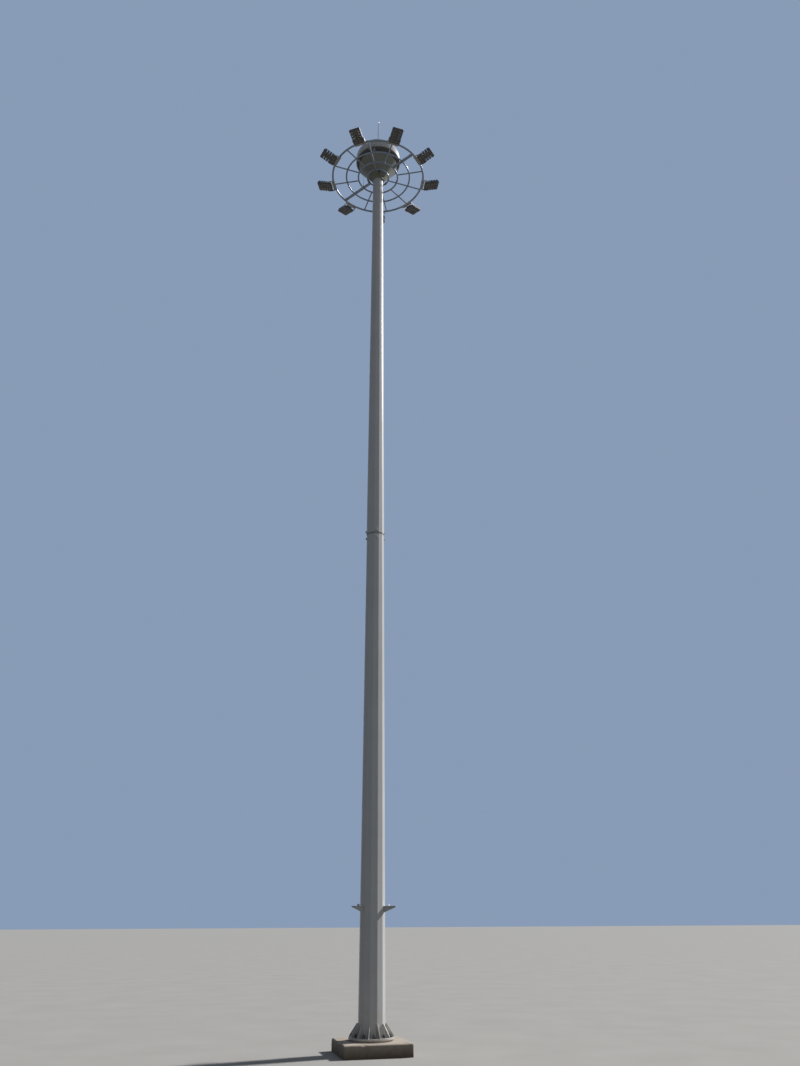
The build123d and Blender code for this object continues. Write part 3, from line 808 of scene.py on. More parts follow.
anchor = {
    "count": 12,
    "circle": 0.420,
    "stud": 0.0195,
    "pitch": 0.0045,
    "hole": 0.0185,
    "washer": 0.036,
    "washerHeight": 0.006,
    "flats": 0.060,
    "nutHeight": 0.031,
    "lockHeight": 0.016,
    "lockGap": 0.0005,
    "lockTurn": 17.0,
    "above": 0.020,         # thread that stands above the lock nut
}
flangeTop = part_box("base_flange")[1][2]


def anchorBolt():
    # washer, nut, thin lock nut and the threaded end, stacked from the flange up
    flats, hole = anchor["flats"], anchor["hole"]
    low = flangeTop + anchor["washerHeight"]
    middle = low + anchor["nutHeight"]
    high = middle + anchor["lockHeight"]
    return joined(
        disc(anchor["washer"], flangeTop, low, hole),
        hexBar(flats, low, middle, hole),
        copies(hexBar(flats, middle + anchor["lockGap"], high, hole), [turned(anchor["lockTurn"])]),
        threadedBar(anchor["stud"], low, high + anchor["above"], anchor["pitch"]),
    )


seeded = np.random.default_rng(11)
anchorPlaces = around(loop(anchor["count"]), anchor["circle"])
anchorPlaces = [place @ rotated(seeded.uniform(0, 60), "Z") for place in anchorPlaces]
makePiece("anchorBolts", copies(anchorBolt(), anchorPlaces), "anchor", "mast", smooth=25)

weld = {
    "leg": 0.009,
    "thin": 0.8,            # the upright beads, as a share of that
    "wave": 0.11,           # height of the ripples as a share of the bead
    "ripple": 0.011,
    "end": 0.25,            # square of the share of its radius left at open ends
    "sides": 8,
    "gussetThickness": 0.014,
    "gussetOut": 0.478,
    "gussetHeight": 0.250,
}


def evenSteps(path, step):
    # points along a path at an even distance, and how far along it each one is
    path = np.asarray(path, float)
    length = np.concatenate([[0], np.cumsum(np.linalg.norm(np.diff(path, axis=0), axis=1))])
    distance = np.linspace(0, length[-1], max(int(length[-1] / step), 4))
    return points(*(np.interp(distance, length, axis) for axis in path.T)), distance


def bead(path, leg, closed=False):
    # bead of weld along a path, its radius rippling along the length and shrinking at open ends
    line, distance = evenSteps(path, weld["ripple"] / 4)
    radius = leg * (1 + weld["wave"] * np.sin(2 * np.pi * distance / weld["ripple"]))
    if closed:
        return swept(line[:-1], radius[:-1], weld["sides"], True)
    ends = np.clip(np.minimum(distance, distance[-1] - distance) / leg, weld["end"], 1) ** 0.5
    return swept(line, radius * ends, weld["sides"])


def footWelds():
    # each gusset: beads at both sides of its foot and up the shaft; between gussets the shaft's foot
    half, leg, rise = weld["gussetThickness"] / 2, weld["leg"], weld["gussetHeight"]
    beads = []
    for y in (-half, half):
        root, top = (lowerCorner, y, flangeTop), (lowerCorner - shaft["taper"] * rise, y, flangeTop + rise)
        beads.append(bead([root, (weld["gussetOut"], y, flangeTop)], leg))
        beads.append(bead([root, top], leg * weld["thin"]))
    x, y, z = polar(side / 2, lowerCorner, flangeTop)
    across = bead([(x, -y + half, z), (x, y - half, z)], leg)
    corners, flats = around(side / 2 + loop(shaft["sides"])), around(loop(shaft["sides"]))
    return joined(copies(joined(*beads), corners), copies(across, flats))


makePiece("footWelds", footWelds(), "base", "mast", smooth=60)

block = {
    "side": 1.460,
    "turn": 5.0,
    "top": 0.250,
    "chamfer": 0.020,
    "corner": 0.018,
    "perSide": 44,
    "unevenness": 0.005,
    "deckShare": 0.8,       # the deck is this much as uneven as the sides
    "ease": 0.004,          # width in which the noise sets in, at the chamfer's upper edge
    "coarse": (0.6, 0.11, 3),       # share of the unevenness, size of its lattice, seed
    "fine": (0.4, 0.035, 5),
    "chips": 0.010,
    "chipSize": (0.060, 9),
    "chipFrom": 0.62,       # noise above this chips the concrete
    "chipBand": 0.05,       # chips keep this close to the upper edge
    "bed": 0.45,            # the deck is even inside this radius, where the grout lies
}


def concreteBlock():
    # rounded square outline carried up the side, over the chamfer and in to the middle, then every
    # point pushed inwards by noise, more at the upper edge where the corners have chipped
    half, corner, top, chamfer = block["side"] / 2, block["corner"], block["top"], block["chamfer"]
    straight = points(half, np.linspace(-half + corner, half - corner, block["perSide"])[1:-1])
    quarter = np.concatenate([straight, arc(half - corner, half - corner, corner, 0, 90, 6)])
    outline = np.concatenate([quarter @ rotated(-angle, "Z")[:2, :2] for angle in loop(4)]) / half
    wall = [(half, z) for z in np.linspace(0, top - chamfer, 9)]
    edge = [(half - chamfer * s, top - chamfer + chamfer * s) for s in (0.25, 0.5, 0.75, 1.0)]
    deck = [(reach, top) for reach in np.linspace(half - chamfer, 0.0, 26)[1:]]
    reach, height = np.array([(0.0, 0.0)] + wall + edge + deck).T[..., None]
    grid = points(reach * outline[:, 0], reach * outline[:, 1], height)
    spots = grid.reshape(-1, 3)
    (share, size, seed), (fineShare, fineSize, fineSeed) = block["coarse"], block["fine"]
    rough = share * lattice(spots + 7, size, seed) + fineShare * lattice(spots + 3, fineSize, fineSeed)
    rough *= block["unevenness"]
    out = np.abs(spots[:, :2]).max(1, keepdims=True)
    band = block["chipBand"]
    nearEdge = np.clip(1 - np.abs(spots[:, 2:] - (top - chamfer / 2)) / band, 0, 1)
    nearEdge *= np.clip((out - half + band) / band, 0, 1)
    chip = np.clip(lattice(spots + 11, *block["chipSize"]) - block["chipFrom"], 0, 1)[:, None]
    chip *= block["chips"] / (1 - block["chipFrom"]) * nearEdge
    onSide = np.clip((out - half + chamfer + block["ease"] / 2) / block["ease"], 0, 1)
    onTop = (spots[:, 2] > top - 1e-6) & (np.hypot(*spots[:, :2].T) > block["bed"])
    spots[:, :2] -= spots[:, :2] / np.maximum(out, 1e-6) * (rough[:, None] * onSide + chip)
    spots[:, 2] -= onTop * (block["deckShare"] * rough) + chip[:, 0]
    return copies(surface(spots.reshape(grid.shape)), [turned(block["turn"])])


bed = {
    "radius": 0.465,
    "bore": 0.200,
    "slump": 0.012,
    "sunk": 0.004,
    "wander": 0.010,
    "wanderSize": (0.07, 21),   # size of its lattice, seed
    "wanderFrom": 0.4,          # only the outer face wanders, beyond this radius
    "steps": 160,
}


def groutBed():
    # ring of grout, its outer face slumped outwards at the foot and trowelled unevenly
    foot, high = block["top"] - bed["sunk"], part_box("base_flange")[0][2]
    rise = np.linspace(0, 1, 7)
    face = points(bed["radius"] - bed["slump"] * rise**2, block["top"] + rise * (high - block["top"]))
    profile = np.concatenate([[(bed["bore"], foot), (bed["radius"], foot)], face, [(bed["bore"], high)]])
    spots, quads = revolved(profile, bed["steps"])
    outer = np.hypot(spots[:, 0], spots[:, 1]) > bed["wanderFrom"]
    wander = lattice(spots + 5, *bed["wanderSize"]) * bed["wander"]
    spots[:, :2] *= (1 - outer * wander / bed["radius"])[:, None]
    return spots, quads


makePiece("concreteBlock", concreteBlock(), "concrete", "mast", "plinth", smooth=50)
makePiece("groutRing", groutBed(), "grout", "mast", "grout_bed", smooth=50)

for node, finish, body, slot, edge in (
    ("base_flange", "base", "mast", "base_steel", 0.003),
    ("base_gussets", "base", "mast", "base_steel", 0.002),
    ("joint_lugs", "shaft", "mast", "shaft_steel", 0.003),
    ("door_frame", "base", "mast", "base_steel", 0.003),
    ("service_door", "shaft", "mast", "base_steel", 0.002),
    ("rest_brackets", "base", "mast", "base_steel", 0.002),
    ("head_plate", "head", "mast", "head_steel", 0.002),
    ("pulley_arms", "head", "mast", "head_steel", 0.0015),
    ("head_pulleys", "head", "mast", "head_steel", 0.0006),
    ("roller_forks", "ring", "lamp_ring", "ring_steel", 0.0015),
    ("wire_lugs", "ring", "lamp_ring", "ring_steel", 0.002),
    ("lamp_yokes", "yoke", "lamp_ring", "ring_steel", 0.0015),
):
    dressedNode(node, finish, body, edge)
print("foot and brackets made")

# Floodlights: housing and tray from the frame, lenses, bezel screws and pivot bolts added

lamp = {
    "count": 9,
    "tilt": 17.0,
    "middle": 0.120,        # middle of the housing along its own X, from the pivot
    "armOutside": 0.189,    # outer face of the yoke's arm
    "face": -0.028,         # underside of the light modules
    "rows": (5, 0.0844),    # light modules: how many and how far apart
    "columns": (2, 0.146),
    "lensRows": (3, 0.0195),
    "lensColumns": (6, 0.0195),
    "lensRadius": 0.0086,
    "lensHeight": 0.005,
    "bezelFace": -0.025,
    "bezelScrewSide": 0.166,
    "bezelScrewRows": (-0.060, 0.036, 0.120, 0.204, 0.300),
    "bezelScrewEnds": (-0.111, 0.351),
    "bezelScrewAcross": 0.060,
    "driverTop": 0.068,
    "driverScrews": ((-0.088, 0.081), (-0.088, -0.081), (0.016, 0.081), (0.016, -0.081)),
    "screw": (0.0055, 0.0032),      # radius and height of the screws' heads
    "glandAt": (-0.102, 0.045, 0.036),
    "glandBase": (0.022, 0.0, 0.005),
    "glandNut": ((0, 0.004), (0.0095, 0.004), (0.0095, 0.01), (0.007, 0.0135), (0.0045, 0.0155), (0, 0.0155)),
    "pivotBolt": (0.024, 0.010, 0.017),     # across flats, height, washer
}


def lampPlace(number):
    # a floodlight's own space: pivot at the origin, X outwards, tilted up
    joint = next(j for j in frame["joints"] if j["name"] == f"lamp_{number}_tilt")
    x, y, z = joint["pos_m"]
    return turned(np.degrees(np.arctan2(y, x)), np.hypot(x, y), z, -lamp["tilt"])


def spread(count, pitch):
    # even steps to both sides of the middle
    return (np.arange(count) - (count - 1) / 2) * pitch


def lensDomes():
    # caps of a flattened ball that point down: height h sqrt(1 - 0.96 s^2) at the share s of the radius
    share = np.array([1.0, 0.94, 0.72, 0.40, 0.0])[:, None]
    drop = lamp["lensHeight"] * np.sqrt(1 - 0.96 * share**2)
    spots = [
        shifted(lamp["middle"] + x + i, y + j, 0)
        for x in spread(*lamp["rows"])
        for y in spread(*lamp["columns"])
        for i in spread(*lamp["lensRows"])
        for j in spread(*lamp["lensColumns"])
    ]
    return copies(surface(polar(loop(10)[None], lamp["lensRadius"] * share, lamp["face"] - drop)), spots)


def gland():
    # cable gland at the driver box's end: hexagon, then a domed nut with a short tapering grommet
    shape = joined(hexBar(*lamp["glandBase"]), revolved(lamp["glandNut"], 20))
    return copies(shape, [shifted(*lamp["glandAt"]) @ rotated(-90, "Y")])


def lampScrews():
    # bezel screws on the face that looks down, lid screws on the driver box
    beside, across = lamp["bezelScrewSide"], lamp["bezelScrewAcross"]
    spots = [(x, y) for x in lamp["bezelScrewRows"] for y in (-beside, beside)]
    spots += [(x, y) for x in lamp["bezelScrewEnds"] for y in (-across, across)]
    below = [shifted(x, y, lamp["bezelFace"]) @ rotated(180, "X") for x, y in spots]
    above = [shifted(x, y, lamp["driverTop"]) for x, y in lamp["driverScrews"]]
    return copies(domedHead(*lamp["screw"]), below + above)


lampPlaces = [lampPlace(number + 1) for number in range(lamp["count"])]
lampFittings = (
    ("Lenses", lensDomes(), "lens", "lamp_optic", 60),
    ("Screws", lampScrews(), "bolt", "lamp_casting", 40),
    ("Gland", gland(), "rubber", "lamp_casting", 30),
)
for number, place in enumerate(lampPlaces, 1):
    body = f"lamp_{number}"
    dressedNode(f"lamp_{number}_housing", "lamp", body, 0.002)
    dressedNode(f"lamp_{number}_optic", "optic", body, 0.0006, False)
    for name, shape, finish, slot, smooth in lampFittings:
        makePiece(f"lamp{number}{name}", copies(shape, [place]), finish, body, smooth=smooth)

pivots = [onSide(0, way * lamp["armOutside"], 0) for way in (-1, 1)]
pivotBolts = copies(copies(bolt(*lamp["pivotBolt"]), pivots), lampPlaces)
makePiece("pivotBolts", pivotBolts, "bolt", "lamp_ring", smooth=25)
print("floodlights made")

# U-bolts that hold the yokes up against the outer hoop

uBolt = {
    "rod": 0.005,
    "gap": 0.0005,          # between the rod and the hoop's tube
    "spread": 0.100,        # to either side of the floodlight's middle
    "washed": 24.7117,      # underside of the yoke's strap
    "end": 24.693,
    "nut": (0.017, 0.008, 0.011, 0.004),    # across flats, height, washer, hole
}


def uBoltShape():
    # half circle over the hoop's tube, then two straight legs through the strap, with nuts below
    radius, tube = ring["hoops"]["outer_ring"]
    reach = tube + uBolt["gap"] + uBolt["rod"]
    over = arc(radius, ring["height"], reach, 0, 180, 15)
    feet = [(radius + reach, uBolt["end"]), (radius - reach, uBolt["end"])]
    x, z = np.concatenate([feet[:1], over, feet[1:]]).T
    nuts = [shifted(foot[0], 0, uBolt["washed"]) @ rotated(180, "X") for foot in feet]
    return joined(swept(points(x, 0, z), uBolt["rod"], 10), copies(bolt(*uBolt["nut"]), nuts))


lampAngles = [np.degrees(np.arctan2(place[1, 3], place[0, 3])) for place in lampPlaces]
uBoltSwing = np.degrees(uBolt["spread"] / ring["hoops"]["outer_ring"][0])
uBolts = copies(uBoltShape(), around(pairs(lampAngles, uBoltSwing)))
makePiece("uBolts", uBolts, "bolt", "lamp_ring", smooth=30)

# Bolts through the doubled spokes where the halves of the ring meet

halves = {
    "radii": (0.735, 0.935, 1.130, 1.370),
    "head": (0.024, 0.010, 0.015),      # across flats, height, washer
    "spacer": 0.014,
    "sunk": 0.001,
}


def halfBolt():
    # head and nut outside the two tubes, a spacer between them, the axis square to the spokes
    outside = ring["splitOffset"] + ring["spokeTube"] - halves["sunk"]
    inside = ring["splitOffset"] - ring["spokeTube"] + halves["sunk"]
    ends = copies(bolt(*halves["head"]), [onSide(0, y, 0) for y in (-outside, outside)])
    return joined(ends, copies(disc(halves["spacer"], -inside, inside, 0.002), [rotated(90, "X")]))


halfPlaces = [
    turned(ring["splitAt"] + turn, radius, ring["height"]) for turn in (0, 180) for radius in halves["radii"]
]
makePiece("halfBolts", copies(halfBolt(), halfPlaces), "bolt", "lamp_ring", smooth=25)

# Guide rollers: rubber tyres on steel hubs, bolted through the forks

roller = {
    "circle": 0.30926,
    "height": 24.688,
    "angles": (30.0, 150.0, 270.0),
    "radius": 0.030,
    "half": 0.025,          # half its width
    "shoulder": 0.006,
    "hub": 0.017,
    "dish": ((0.009, 0.027), (0.013, 0.027), (0.013, 0.021), (0.017, 0.024)),   # radii, heights
    "pin": 0.009,
    "pinHalf": 0.032,
    "forkOutside": 0.038,
    "head": (0.022, 0.009, 0.014),
}


def tyre():
    # flat tread, quarter circle at each shoulder, straight bore on the hub
    edge, soft, hub = roller["half"], roller["shoulder"], roller["hub"]
    top = arc(roller["radius"] - soft, edge - soft, soft, 0, 90, 6)
    return revolved(np.concatenate([top, [(hub, edge), (hub, -edge)], top[::-1] * (1, -1)]), 40)


def rollerHub():
    # dished hub, pin up to the forks, bolt head and nut outside them
    dish, pin, end = np.array(roller["dish"]), roller["pin"], roller["pinHalf"]
    hub = revolved(np.concatenate([dish * (1, -1), dish[::-1]]), 32)
    axle = revolved([(0, -end), (pin, -end), (pin, end), (0, end)], 24)
    above = shifted(0, 0, roller["forkOutside"])
    return joined(hub, axle, copies(bolt(*roller["head"]), [above, rotated(180, "X") @ above]))


rollerPlaces = around(roller["angles"], roller["circle"], roller["height"])
rollerPlaces = [place @ rotated(90, "X") for place in rollerPlaces]
rollerTyres, rollerHubs = copies(tyre(), rollerPlaces), copies(rollerHub(), rollerPlaces)
makePiece("rollerTyres", rollerTyres, "rubber", "lamp_ring", "guide_rollers", smooth=40)
makePiece("rollerHubs", rollerHubs, "bolt", "lamp_ring", smooth=30)
print("ring fastenings made")

# Suspension wires: six strands laid round a core, over the sheaves and down to the lugs

wire = {
    "circle": 0.640,
    "sheave": 0.584,        # distance of the sheave's centre from the shaft's axis
    "wrap": 0.056,          # radius at which the wire runs on the sheave
    "top": 25.400,
    "end": 24.845,
    "radius": 0.004,
    "strands": 6,
    "lay": 0.050,           # length of one turn of a strand
    "perLay": 12,
    "coreExtra": 1.15,      # the core is this much thicker than a strand
    "boreIn": 0.045,        # where it goes down through the head plate
    "boreBend": 0.030,
    "boreEnd": 0.030,       # below the sheave's centre
    "swage": ((0, 0), (0.010, 0), (0.010, 0.012), (0.008, 0.016), (0.008, 0.062), (0.005, 0.074), (0, 0.074)),
}


def laidRope(path):
    # a path in the XZ plane, walked in even steps; strand k runs at centre + d (cos p n + sin p b),
    # p growing by a full turn for each lay, with n across the path and b square to its plane
    line, distance = evenSteps(path, wire["lay"] / wire["perLay"])
    second = np.array([0.0, 1.0, 0.0])
    normal = np.cross(second, unit(np.gradient(line, axis=0)))
    thin = wire["radius"] / 3
    strands = [swept(line, thin * wire["coreExtra"], 6)]
    for strand in range(wire["strands"]):
        p = 2 * np.pi * (distance / wire["lay"] + strand / wire["strands"])[:, None]
        path = line + (wire["radius"] - thin) * (np.cos(p) * normal + np.sin(p) * second)
        strands.append(swept(path, thin, 6))
    return joined(*strands)


def sheaveRun():
    # quarter circle over the sheave, level run inwards, quarter circle down into the bore
    top, wrap, bend = wire["top"], wire["wrap"], wire["boreBend"]
    over = arc(wire["sheave"], top, wrap, 0, 90, 14)
    down = arc(wire["boreIn"] + bend, top + wrap - bend, bend, 90, 180, 10)
    x, z = np.concatenate([over, down, [(wire["boreIn"], top - wire["boreEnd"])]]).T
    return points(x, 0, z)


wireTurns = around(ring["armAngles"])
hanging = laidRope([(wire["circle"], 0, wire["top"]), (wire["circle"], 0, wire["end"])])
hanging = copies(hanging, wireTurns)
strands = makePiece("suspensionStrands", hanging, "wire", None, "suspension_wires", smooth=60)
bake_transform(strands)
makePiece("sheaveWires", copies(laidRope(sheaveRun()), wireTurns), "wire", "mast", smooth=60)
wireEnds = copies(revolved(wire["swage"], 24), around(ring["armAngles"], wire["circle"], wire["end"]))
makePiece("wireEnds", wireEnds, "head", "lamp_ring", smooth=30)
print("wires made")

# Fastenings of the head: hood to arms, sheave pins, cone's collar, foot of the rod

headBolts = {
    "small": (0.019, 0.009, 0.014),     # across flats, height, washer
    "large": (0.026, 0.012, 0.019),
    "hoodHeight": 25.430,
    "cheekMiddle": 0.027,
    "cheekFace": 0.032,
    "collarHeight": 24.630,
    "collarCount": 6,
    "collarStart": 30.0,
    "foot": (0.013, 0.006, 0.010),
    "footRadius": 0.062,
    "footCircle": 0.049,
    "footHole": 0.020,
    "footHalf": 0.004,      # the foot plate reaches this far above and below the crown
}


def headFastenings():
    # heads that stood on z = 0 are laid on their faces: along X for the hood and collar, Y for the pins
    arms = ring["armAngles"]
    sideways = np.degrees(np.arcsin(headBolts["cheekMiddle"] / hood["radius"]))
    collar = headBolts["collarStart"] + loop(headBolts["collarCount"])
    small = around(pairs(arms, sideways), hood["radius"], headBolts["hoodHeight"], 90)
    small += around(collar, cone["footRadius"], headBolts["collarHeight"], 90)
    cheeks = (-headBolts["cheekFace"], headBolts["cheekFace"])
    pins = [turned(angle) @ onSide(wire["sheave"], y, wire["top"]) for angle in arms for y in cheeks]
    return joined(copies(bolt(*headBolts["small"]), small), copies(bolt(*headBolts["large"]), pins))


def rodFoot():
    # round plate on the crown with four bolts
    half = headBolts["footHalf"]
    plate = disc(headBolts["footRadius"], crownTop - half, crownTop + half, headBolts["footHole"], 0.001, 48)
    spots = around(45 + loop(4), headBolts["footCircle"], crownTop + half)
    return joined(plate, copies(bolt(*headBolts["foot"]), spots))


makePiece("headFastenings", headFastenings(), "bolt", "mast", smooth=25)
makePiece("rodFoot", rodFoot(), "rod", "mast", smooth=25)

# Long seams of the shaft, sealed edge of the sleeve, welds of the lugs and brackets

seam = {
    "half": 0.007,
    "height": 0.0018,
    "depth": 0.003,         # its back lies this deep behind its crown
    "sunk": 0.0002,
    "rows": 260,
    "lowerAt": 120.0,
    "lowerGaps": (0.012, 0.010),    # left at the foot and under the sleeve
    "upperAt": 60.0,
    "upperEnd": 24.605,
    "waver": (0.0008, 37, 5.3),     # how far, and the two sines' waves
}
sealant = {"radius": 0.0045, "out": 0.003, "drop": 0.003}
lugs = {"half": 0.025, "low": 0.035, "heights": (0.065, -0.130), "leg": 0.0045}
bracket = {
    "start": 90.0,
    "web": 0.007,           # half its thickness
    "foot": 2.705,
    "seat": 2.828,
    "top": 2.840,
    "half": 0.040,
    "tip": 0.556,
    "leg": 0.005,
}


def lowerFlat(height):
    return (lowerCorner - shaft["taper"] * (height - shaftFoot)) * flatRatio


def upperFlat(height):
    return (upperCorner - shaft["taper"] * (height - sleeveEdge)) * flatRatio


def seamBead(face, low, high):
    # crown across the seam, height h (1 - (y / w)^2), wavering sideways by a product of two sines
    across = np.array([-1, -0.7, -0.35, 0, 0.35, 0.7, 1, 1, -1])[None]
    behind = seam["depth"] * np.array([0, 0, 0, 0, 0, 0, 0, 1, 1])[None]
    height = np.linspace(low, high, seam["rows"])[:, None]
    far, quick, slow = seam["waver"]
    waver = far * np.sin(height * quick) * np.sin(height * slow)
    crown = seam["height"] * (1 - across**2) - seam["sunk"] - behind
    return capped(points(face(height) + crown, seam["half"] * across + waver, height))


def lugWelds():
    # bead along each side of the root of both lugs
    beads, half = [], lugs["half"]
    for face, drop in zip((upperFlat, lowerFlat), lugs["heights"]):
        low, high = sleeveEdge + drop - lugs["low"], sleeveEdge + drop + lugs["low"]
        beads += [bead([(face(low), y, low), (face(high), y, high)], lugs["leg"]) for y in (-half, half)]
        beads += [bead([(face(z), -half, z), (face(z), half, z)], lugs["leg"]) for z in (low, high)]
    return copies(joined(*beads), around(loop(4)))


def bracketWelds():
    # beads up both sides of the web, along it under the seat, and over the seat at the shaft
    beads, leg, half = [], bracket["leg"], bracket["half"]
    foot, seat, top = ((lowerFlat(bracket[z]), bracket[z]) for z in ("foot", "seat", "top"))
    for y in (-bracket["web"], bracket["web"]):
        corner = (seat[0], y, seat[1])
        beads.append(bead([(foot[0], y, foot[1]), corner], leg))
        beads.append(bead([corner, (bracket["tip"], y, seat[1])], leg * weld["thin"]))
    beads += [bead([(x, -half, z), (x, half, z)], leg) for x, z in (seat, top)]
    return copies(joined(*beads), around(bracket["start"] + loop(3)))


sleeveOutline = twelveSided(np.array([lowerFlat(sleeveEdge) + sealant["out"]]))[0]
sleeveOutline[:, 2] = sleeveEdge - sealant["drop"]
sleeveBead = swept(sleeveOutline, sealant["radius"], 10, True)
footGap, topGap = seam["lowerGaps"]
seams = joined(
    copies(seamBead(lowerFlat, shaftFoot + footGap, sleeveEdge - topGap), [turned(seam["lowerAt"])]),
    copies(seamBead(upperFlat, sleeveEdge, seam["upperEnd"]), [turned(seam["upperAt"])]),
)
makePiece("sleeveSealant", sleeveBead, "rubber", "mast", smooth=60)
makePiece("shaftSeams", seams, "shaft", "mast", smooth=50)
makePiece("lugWelds", lugWelds(), "shaft", "mast", smooth=60)
makePiece("bracketWelds", bracketWelds(), "base", "mast", smooth=60)

# Service door: bead round its frame, screws and lock

door = {
    "middle": 1.150,
    "frameHalf": (0.128, 0.428),
    "frameCorner": 0.088,
    "frameStep": 0.00797,
    "frameLeg": 0.006,
    "face": 0.3045,
    "screwSide": 0.107,
    "screwRise": 0.407,
    "screwHeights": (-0.30, -0.10, 0.10, 0.30),
    "screwAcross": (-0.035, 0.035),
    "screw": (0.0068, 0.0050),
    "washer": (0.0085, 0.0, 0.0015, 0.003),
    "lockAt": (-0.070, 1.150),
    "lockPlate": (0.020, 0.0, 0.003, 0.002, 0.001),     # radius, low, high, hole, edge
    "lockCollar": (0.0125, 0.003, 0.011, 0.0088, 0.001),
    "keyFlat": 0.0040,
    "keyRadius": 0.0070,
    "keyHeights": (0.003, 0.0095, 0.0105),
}


def frameBead():
    # rounded rectangle of the frame, pressed onto the shaft: y is the least of the flats it crosses
    half, corner = np.array(door["frameHalf"]), door["frameCorner"]
    bend = arc(0, 0, corner, 0, 90, 13)
    signs = ((1, 1), (-1, 1), (-1, -1), (1, -1))
    quarters = [(half - corner + (bend if a * b > 0 else bend[::-1])) * (a, b) for a, b in signs]
    outline = evenSteps(np.concatenate(quarters + [quarters[0][:1]]), door["frameStep"])[0]
    x, z = outline[:, 0], outline[:, 1] + door["middle"]
    front = lowerFlat(z)
    beside = (front - np.abs(x) * np.sin(np.radians(side))) / np.cos(np.radians(side))
    return bead(points(x, np.minimum(front, beside), z), door["frameLeg"], True)


def doorFastenings():
    # domed screws round the edge, and a lock: round plate, raised collar, three-sided stud in it
    beside, rise, face = door["screwSide"], door["screwRise"], door["face"]
    spots = [(x, z) for x in (-beside, beside) for z in door["screwHeights"]]
    spots += [(x, z) for x in door["screwAcross"] for z in (-rise, rise)]
    screws = joined(disc(*door["washer"]), domedHead(*door["screw"]))
    angle = loop(24)[None]
    wide = np.minimum(door["keyFlat"] / np.cos(np.radians((angle + 60) % 120 - 60)), door["keyRadius"])
    stud = capped(polar(angle, wide, np.array(door["keyHeights"])[:, None]))
    lock = joined(disc(*door["lockPlate"]), disc(*door["lockCollar"]), stud)
    x, z = door["lockAt"]
    screws = copies(screws, [onSide(x, face, door["middle"] + z) for x, z in spots])
    return joined(screws, copies(lock, [onSide(x, face, z)]))


# Earthing boss on the camera's side: short socket with a rounded mouth, laid along X, and its plug

boss = {
    "at": 254.0,
    "height": 1.490,
    "root": 0.268,
    "face": 0.296,
    "radius": 0.024,
    "bore": 0.015,
    "mouth": 0.003,
    "plug": (0.0152, 0.004, 0.0225, 0.001, 0.0012),
    "plugHead": (0.014, 0.0225, 0.0285),
}
bossPlace = [turned(boss["at"], boss["root"], boss["height"], 90)]
bossLength, mouth = boss["face"] - boss["root"], boss["mouth"]
bossLine = np.concatenate([
    [(boss["bore"], 0), (boss["radius"], 0)],
    arc(boss["radius"] - mouth, bossLength - mouth, mouth, 0, 90, 5),
    [(boss["bore"], bossLength)],
])
bossPlug = joined(disc(*boss["plug"]), hexBar(*boss["plugHead"]))
makePiece("doorFrameWeld", frameBead(), "base", "mast", smooth=60)
makePiece("doorFastenings", doorFastenings(), "bolt", "mast", smooth=30)
makePiece("earthingBoss", copies(revolved(bossLine, 40), bossPlace), "base", "mast", smooth=40)
makePiece("earthingPlug", copies(bossPlug, bossPlace), "head", "mast", smooth=30)
print("shaft fittings made")

# Stage: camera where the photograph was taken, a sun from the right, pale floor and sky

photoCamera = {
    "distance": 20.90,
    "height": 2.44,
    "turn": -7.0,           # the camera stands this far round the shaft from -Y
    "pitch": 24.49,
    "yaw": 1.80,
    "roll": -0.32,
    "focalPixels": 862,
    "longSidePixels": 1066,
    "sensor": 36,
    "farthest": 5000,
}


def placeCamera():
    # rolled about its own axis, pitched up, swung sideways, set back along -Y, turned about the shaft
    aim = rotated(-photoCamera["yaw"], "Z") @ rotated(90 + photoCamera["pitch"], "X")
    back = shifted(0, -photoCamera["distance"], photoCamera["height"])
    data = bpy.data.cameras.new("photoCamera")
    data.sensor_width = photoCamera["sensor"]
    data.lens = photoCamera["focalPixels"] / photoCamera["longSidePixels"] * photoCamera["sensor"]
    data.clip_end = photoCamera["farthest"]
    camera = bpy.data.objects.new("photoCamera", data)
    place = rotated(photoCamera["turn"], "Z") @ back @ aim @ rotated(photoCamera["roll"], "Z")
    camera.matrix_world = Matrix(place)
    bpy.context.scene.collection.objects.link(camera)
    bpy.context.scene.camera = camera


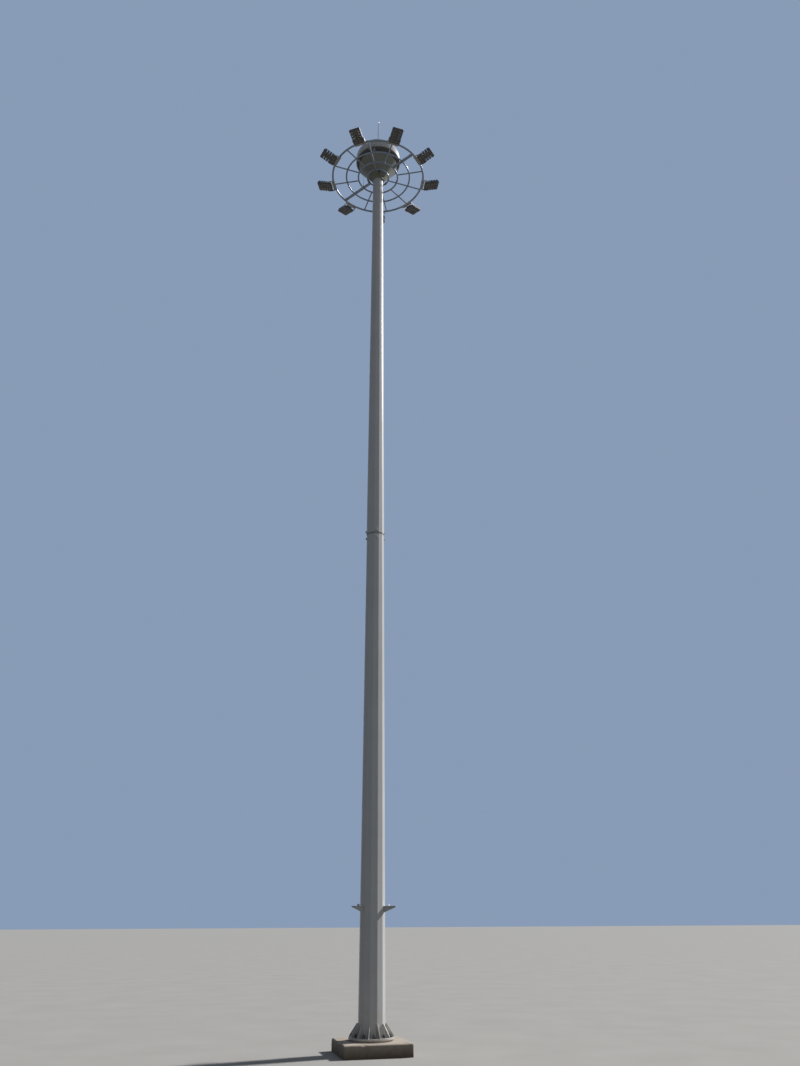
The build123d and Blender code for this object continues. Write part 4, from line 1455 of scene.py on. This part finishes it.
lights = {
    "key": {"from": 18.0, "above": 38.0, "strength": 3.6, "spread": 5.0, "colour": (1.0, 0.98, 0.95)},
    "fill": {"from": 300.0, "above": 20.0, "strength": 0.14, "spread": 60.0, "colour": (0.92, 0.95, 1.0)},
}
for name, light in lights.items():
    data = bpy.data.lights.new(name, "SUN")
    data.energy, data.color = light["strength"], light["colour"]
    data.angle = np.radians(light["spread"])
    above = np.radians(light["above"])
    toward = Vector(polar(light["from"], np.cos(above), np.sin(above)))
    sun = bpy.data.objects.new(name, data)
    sun.rotation_mode = "QUATERNION"
    sun.rotation_quaternion = toward.to_track_quat("Z", "Y")
    bpy.context.scene.collection.objects.link(sun)

backdrop = {
    "shown": (0.25, 0.33, 0.47),
    "ambient": (0.60, 0.66, 0.74),
    "ambientStrength": 0.15,
    "floorShown": ((0.47, 0.46, 0.44), (0.51, 0.50, 0.48)),
    "floorBounce": (0.08, 0.075, 0.065),
    "floorReach": 1500.0,
}


def makeBackdrop():
    # the sky's colour to the camera, in gloss and through glass, the ambient light to all else
    world = bpy.data.worlds.new("paleSky")
    world.use_nodes = True
    tree = world.node_tree
    lit = tree.nodes["Background"]
    connect(lit.inputs["Color"], backdrop["ambient"])
    connect(lit.inputs["Strength"], backdrop["ambientStrength"])
    shown = newNode(tree, "Background", {"Color": backdrop["shown"]}, "Background")
    rays = tree.nodes.new("ShaderNodeLightPath").outputs
    seen = combine("MAXIMUM", rays["Is Camera Ray"], rays["Is Glossy Ray"])
    seen = combine("MAXIMUM", seen, rays["Is Transmission Ray"])
    choice = newNode(tree, "MixShader", {"Fac": seen, 1: lit.outputs["Background"], 2: shown}, "Shader")
    connect(tree.nodes["World Output"].inputs["Surface"], choice)
    bpy.context.scene.world = world


def makeFloor():
    # darker to light that bounces off it than to the camera, so the ring's undersides stay dark
    far = backdrop["floorReach"]
    mesh = bpy.data.meshes.new("floor")
    mesh.from_pydata([(-far, -far, 0), (far, -far, 0), (far, far, 0), (-far, far, 0)], [], [(0, 1, 2, 3)])
    material, here = newFinish("floorPale")
    colour = blend(between(noise(here, 0.6, 3), 0.3, 0.7), *backdrop["floorShown"])
    bounced = newNode(material.node_tree, "LightPath", {}, "Is Diffuse Ray")
    mesh.materials.append(shade(material, blend(bounced, colour, backdrop["floorBounce"]), 0.95))
    floor = bpy.data.objects.new("floor", mesh)
    bpy.context.scene.collection.objects.link(floor)


placeCamera()
makeBackdrop()
makeFloor()
bpy.context.scene.view_settings.view_transform = "Standard"
print("stage made")
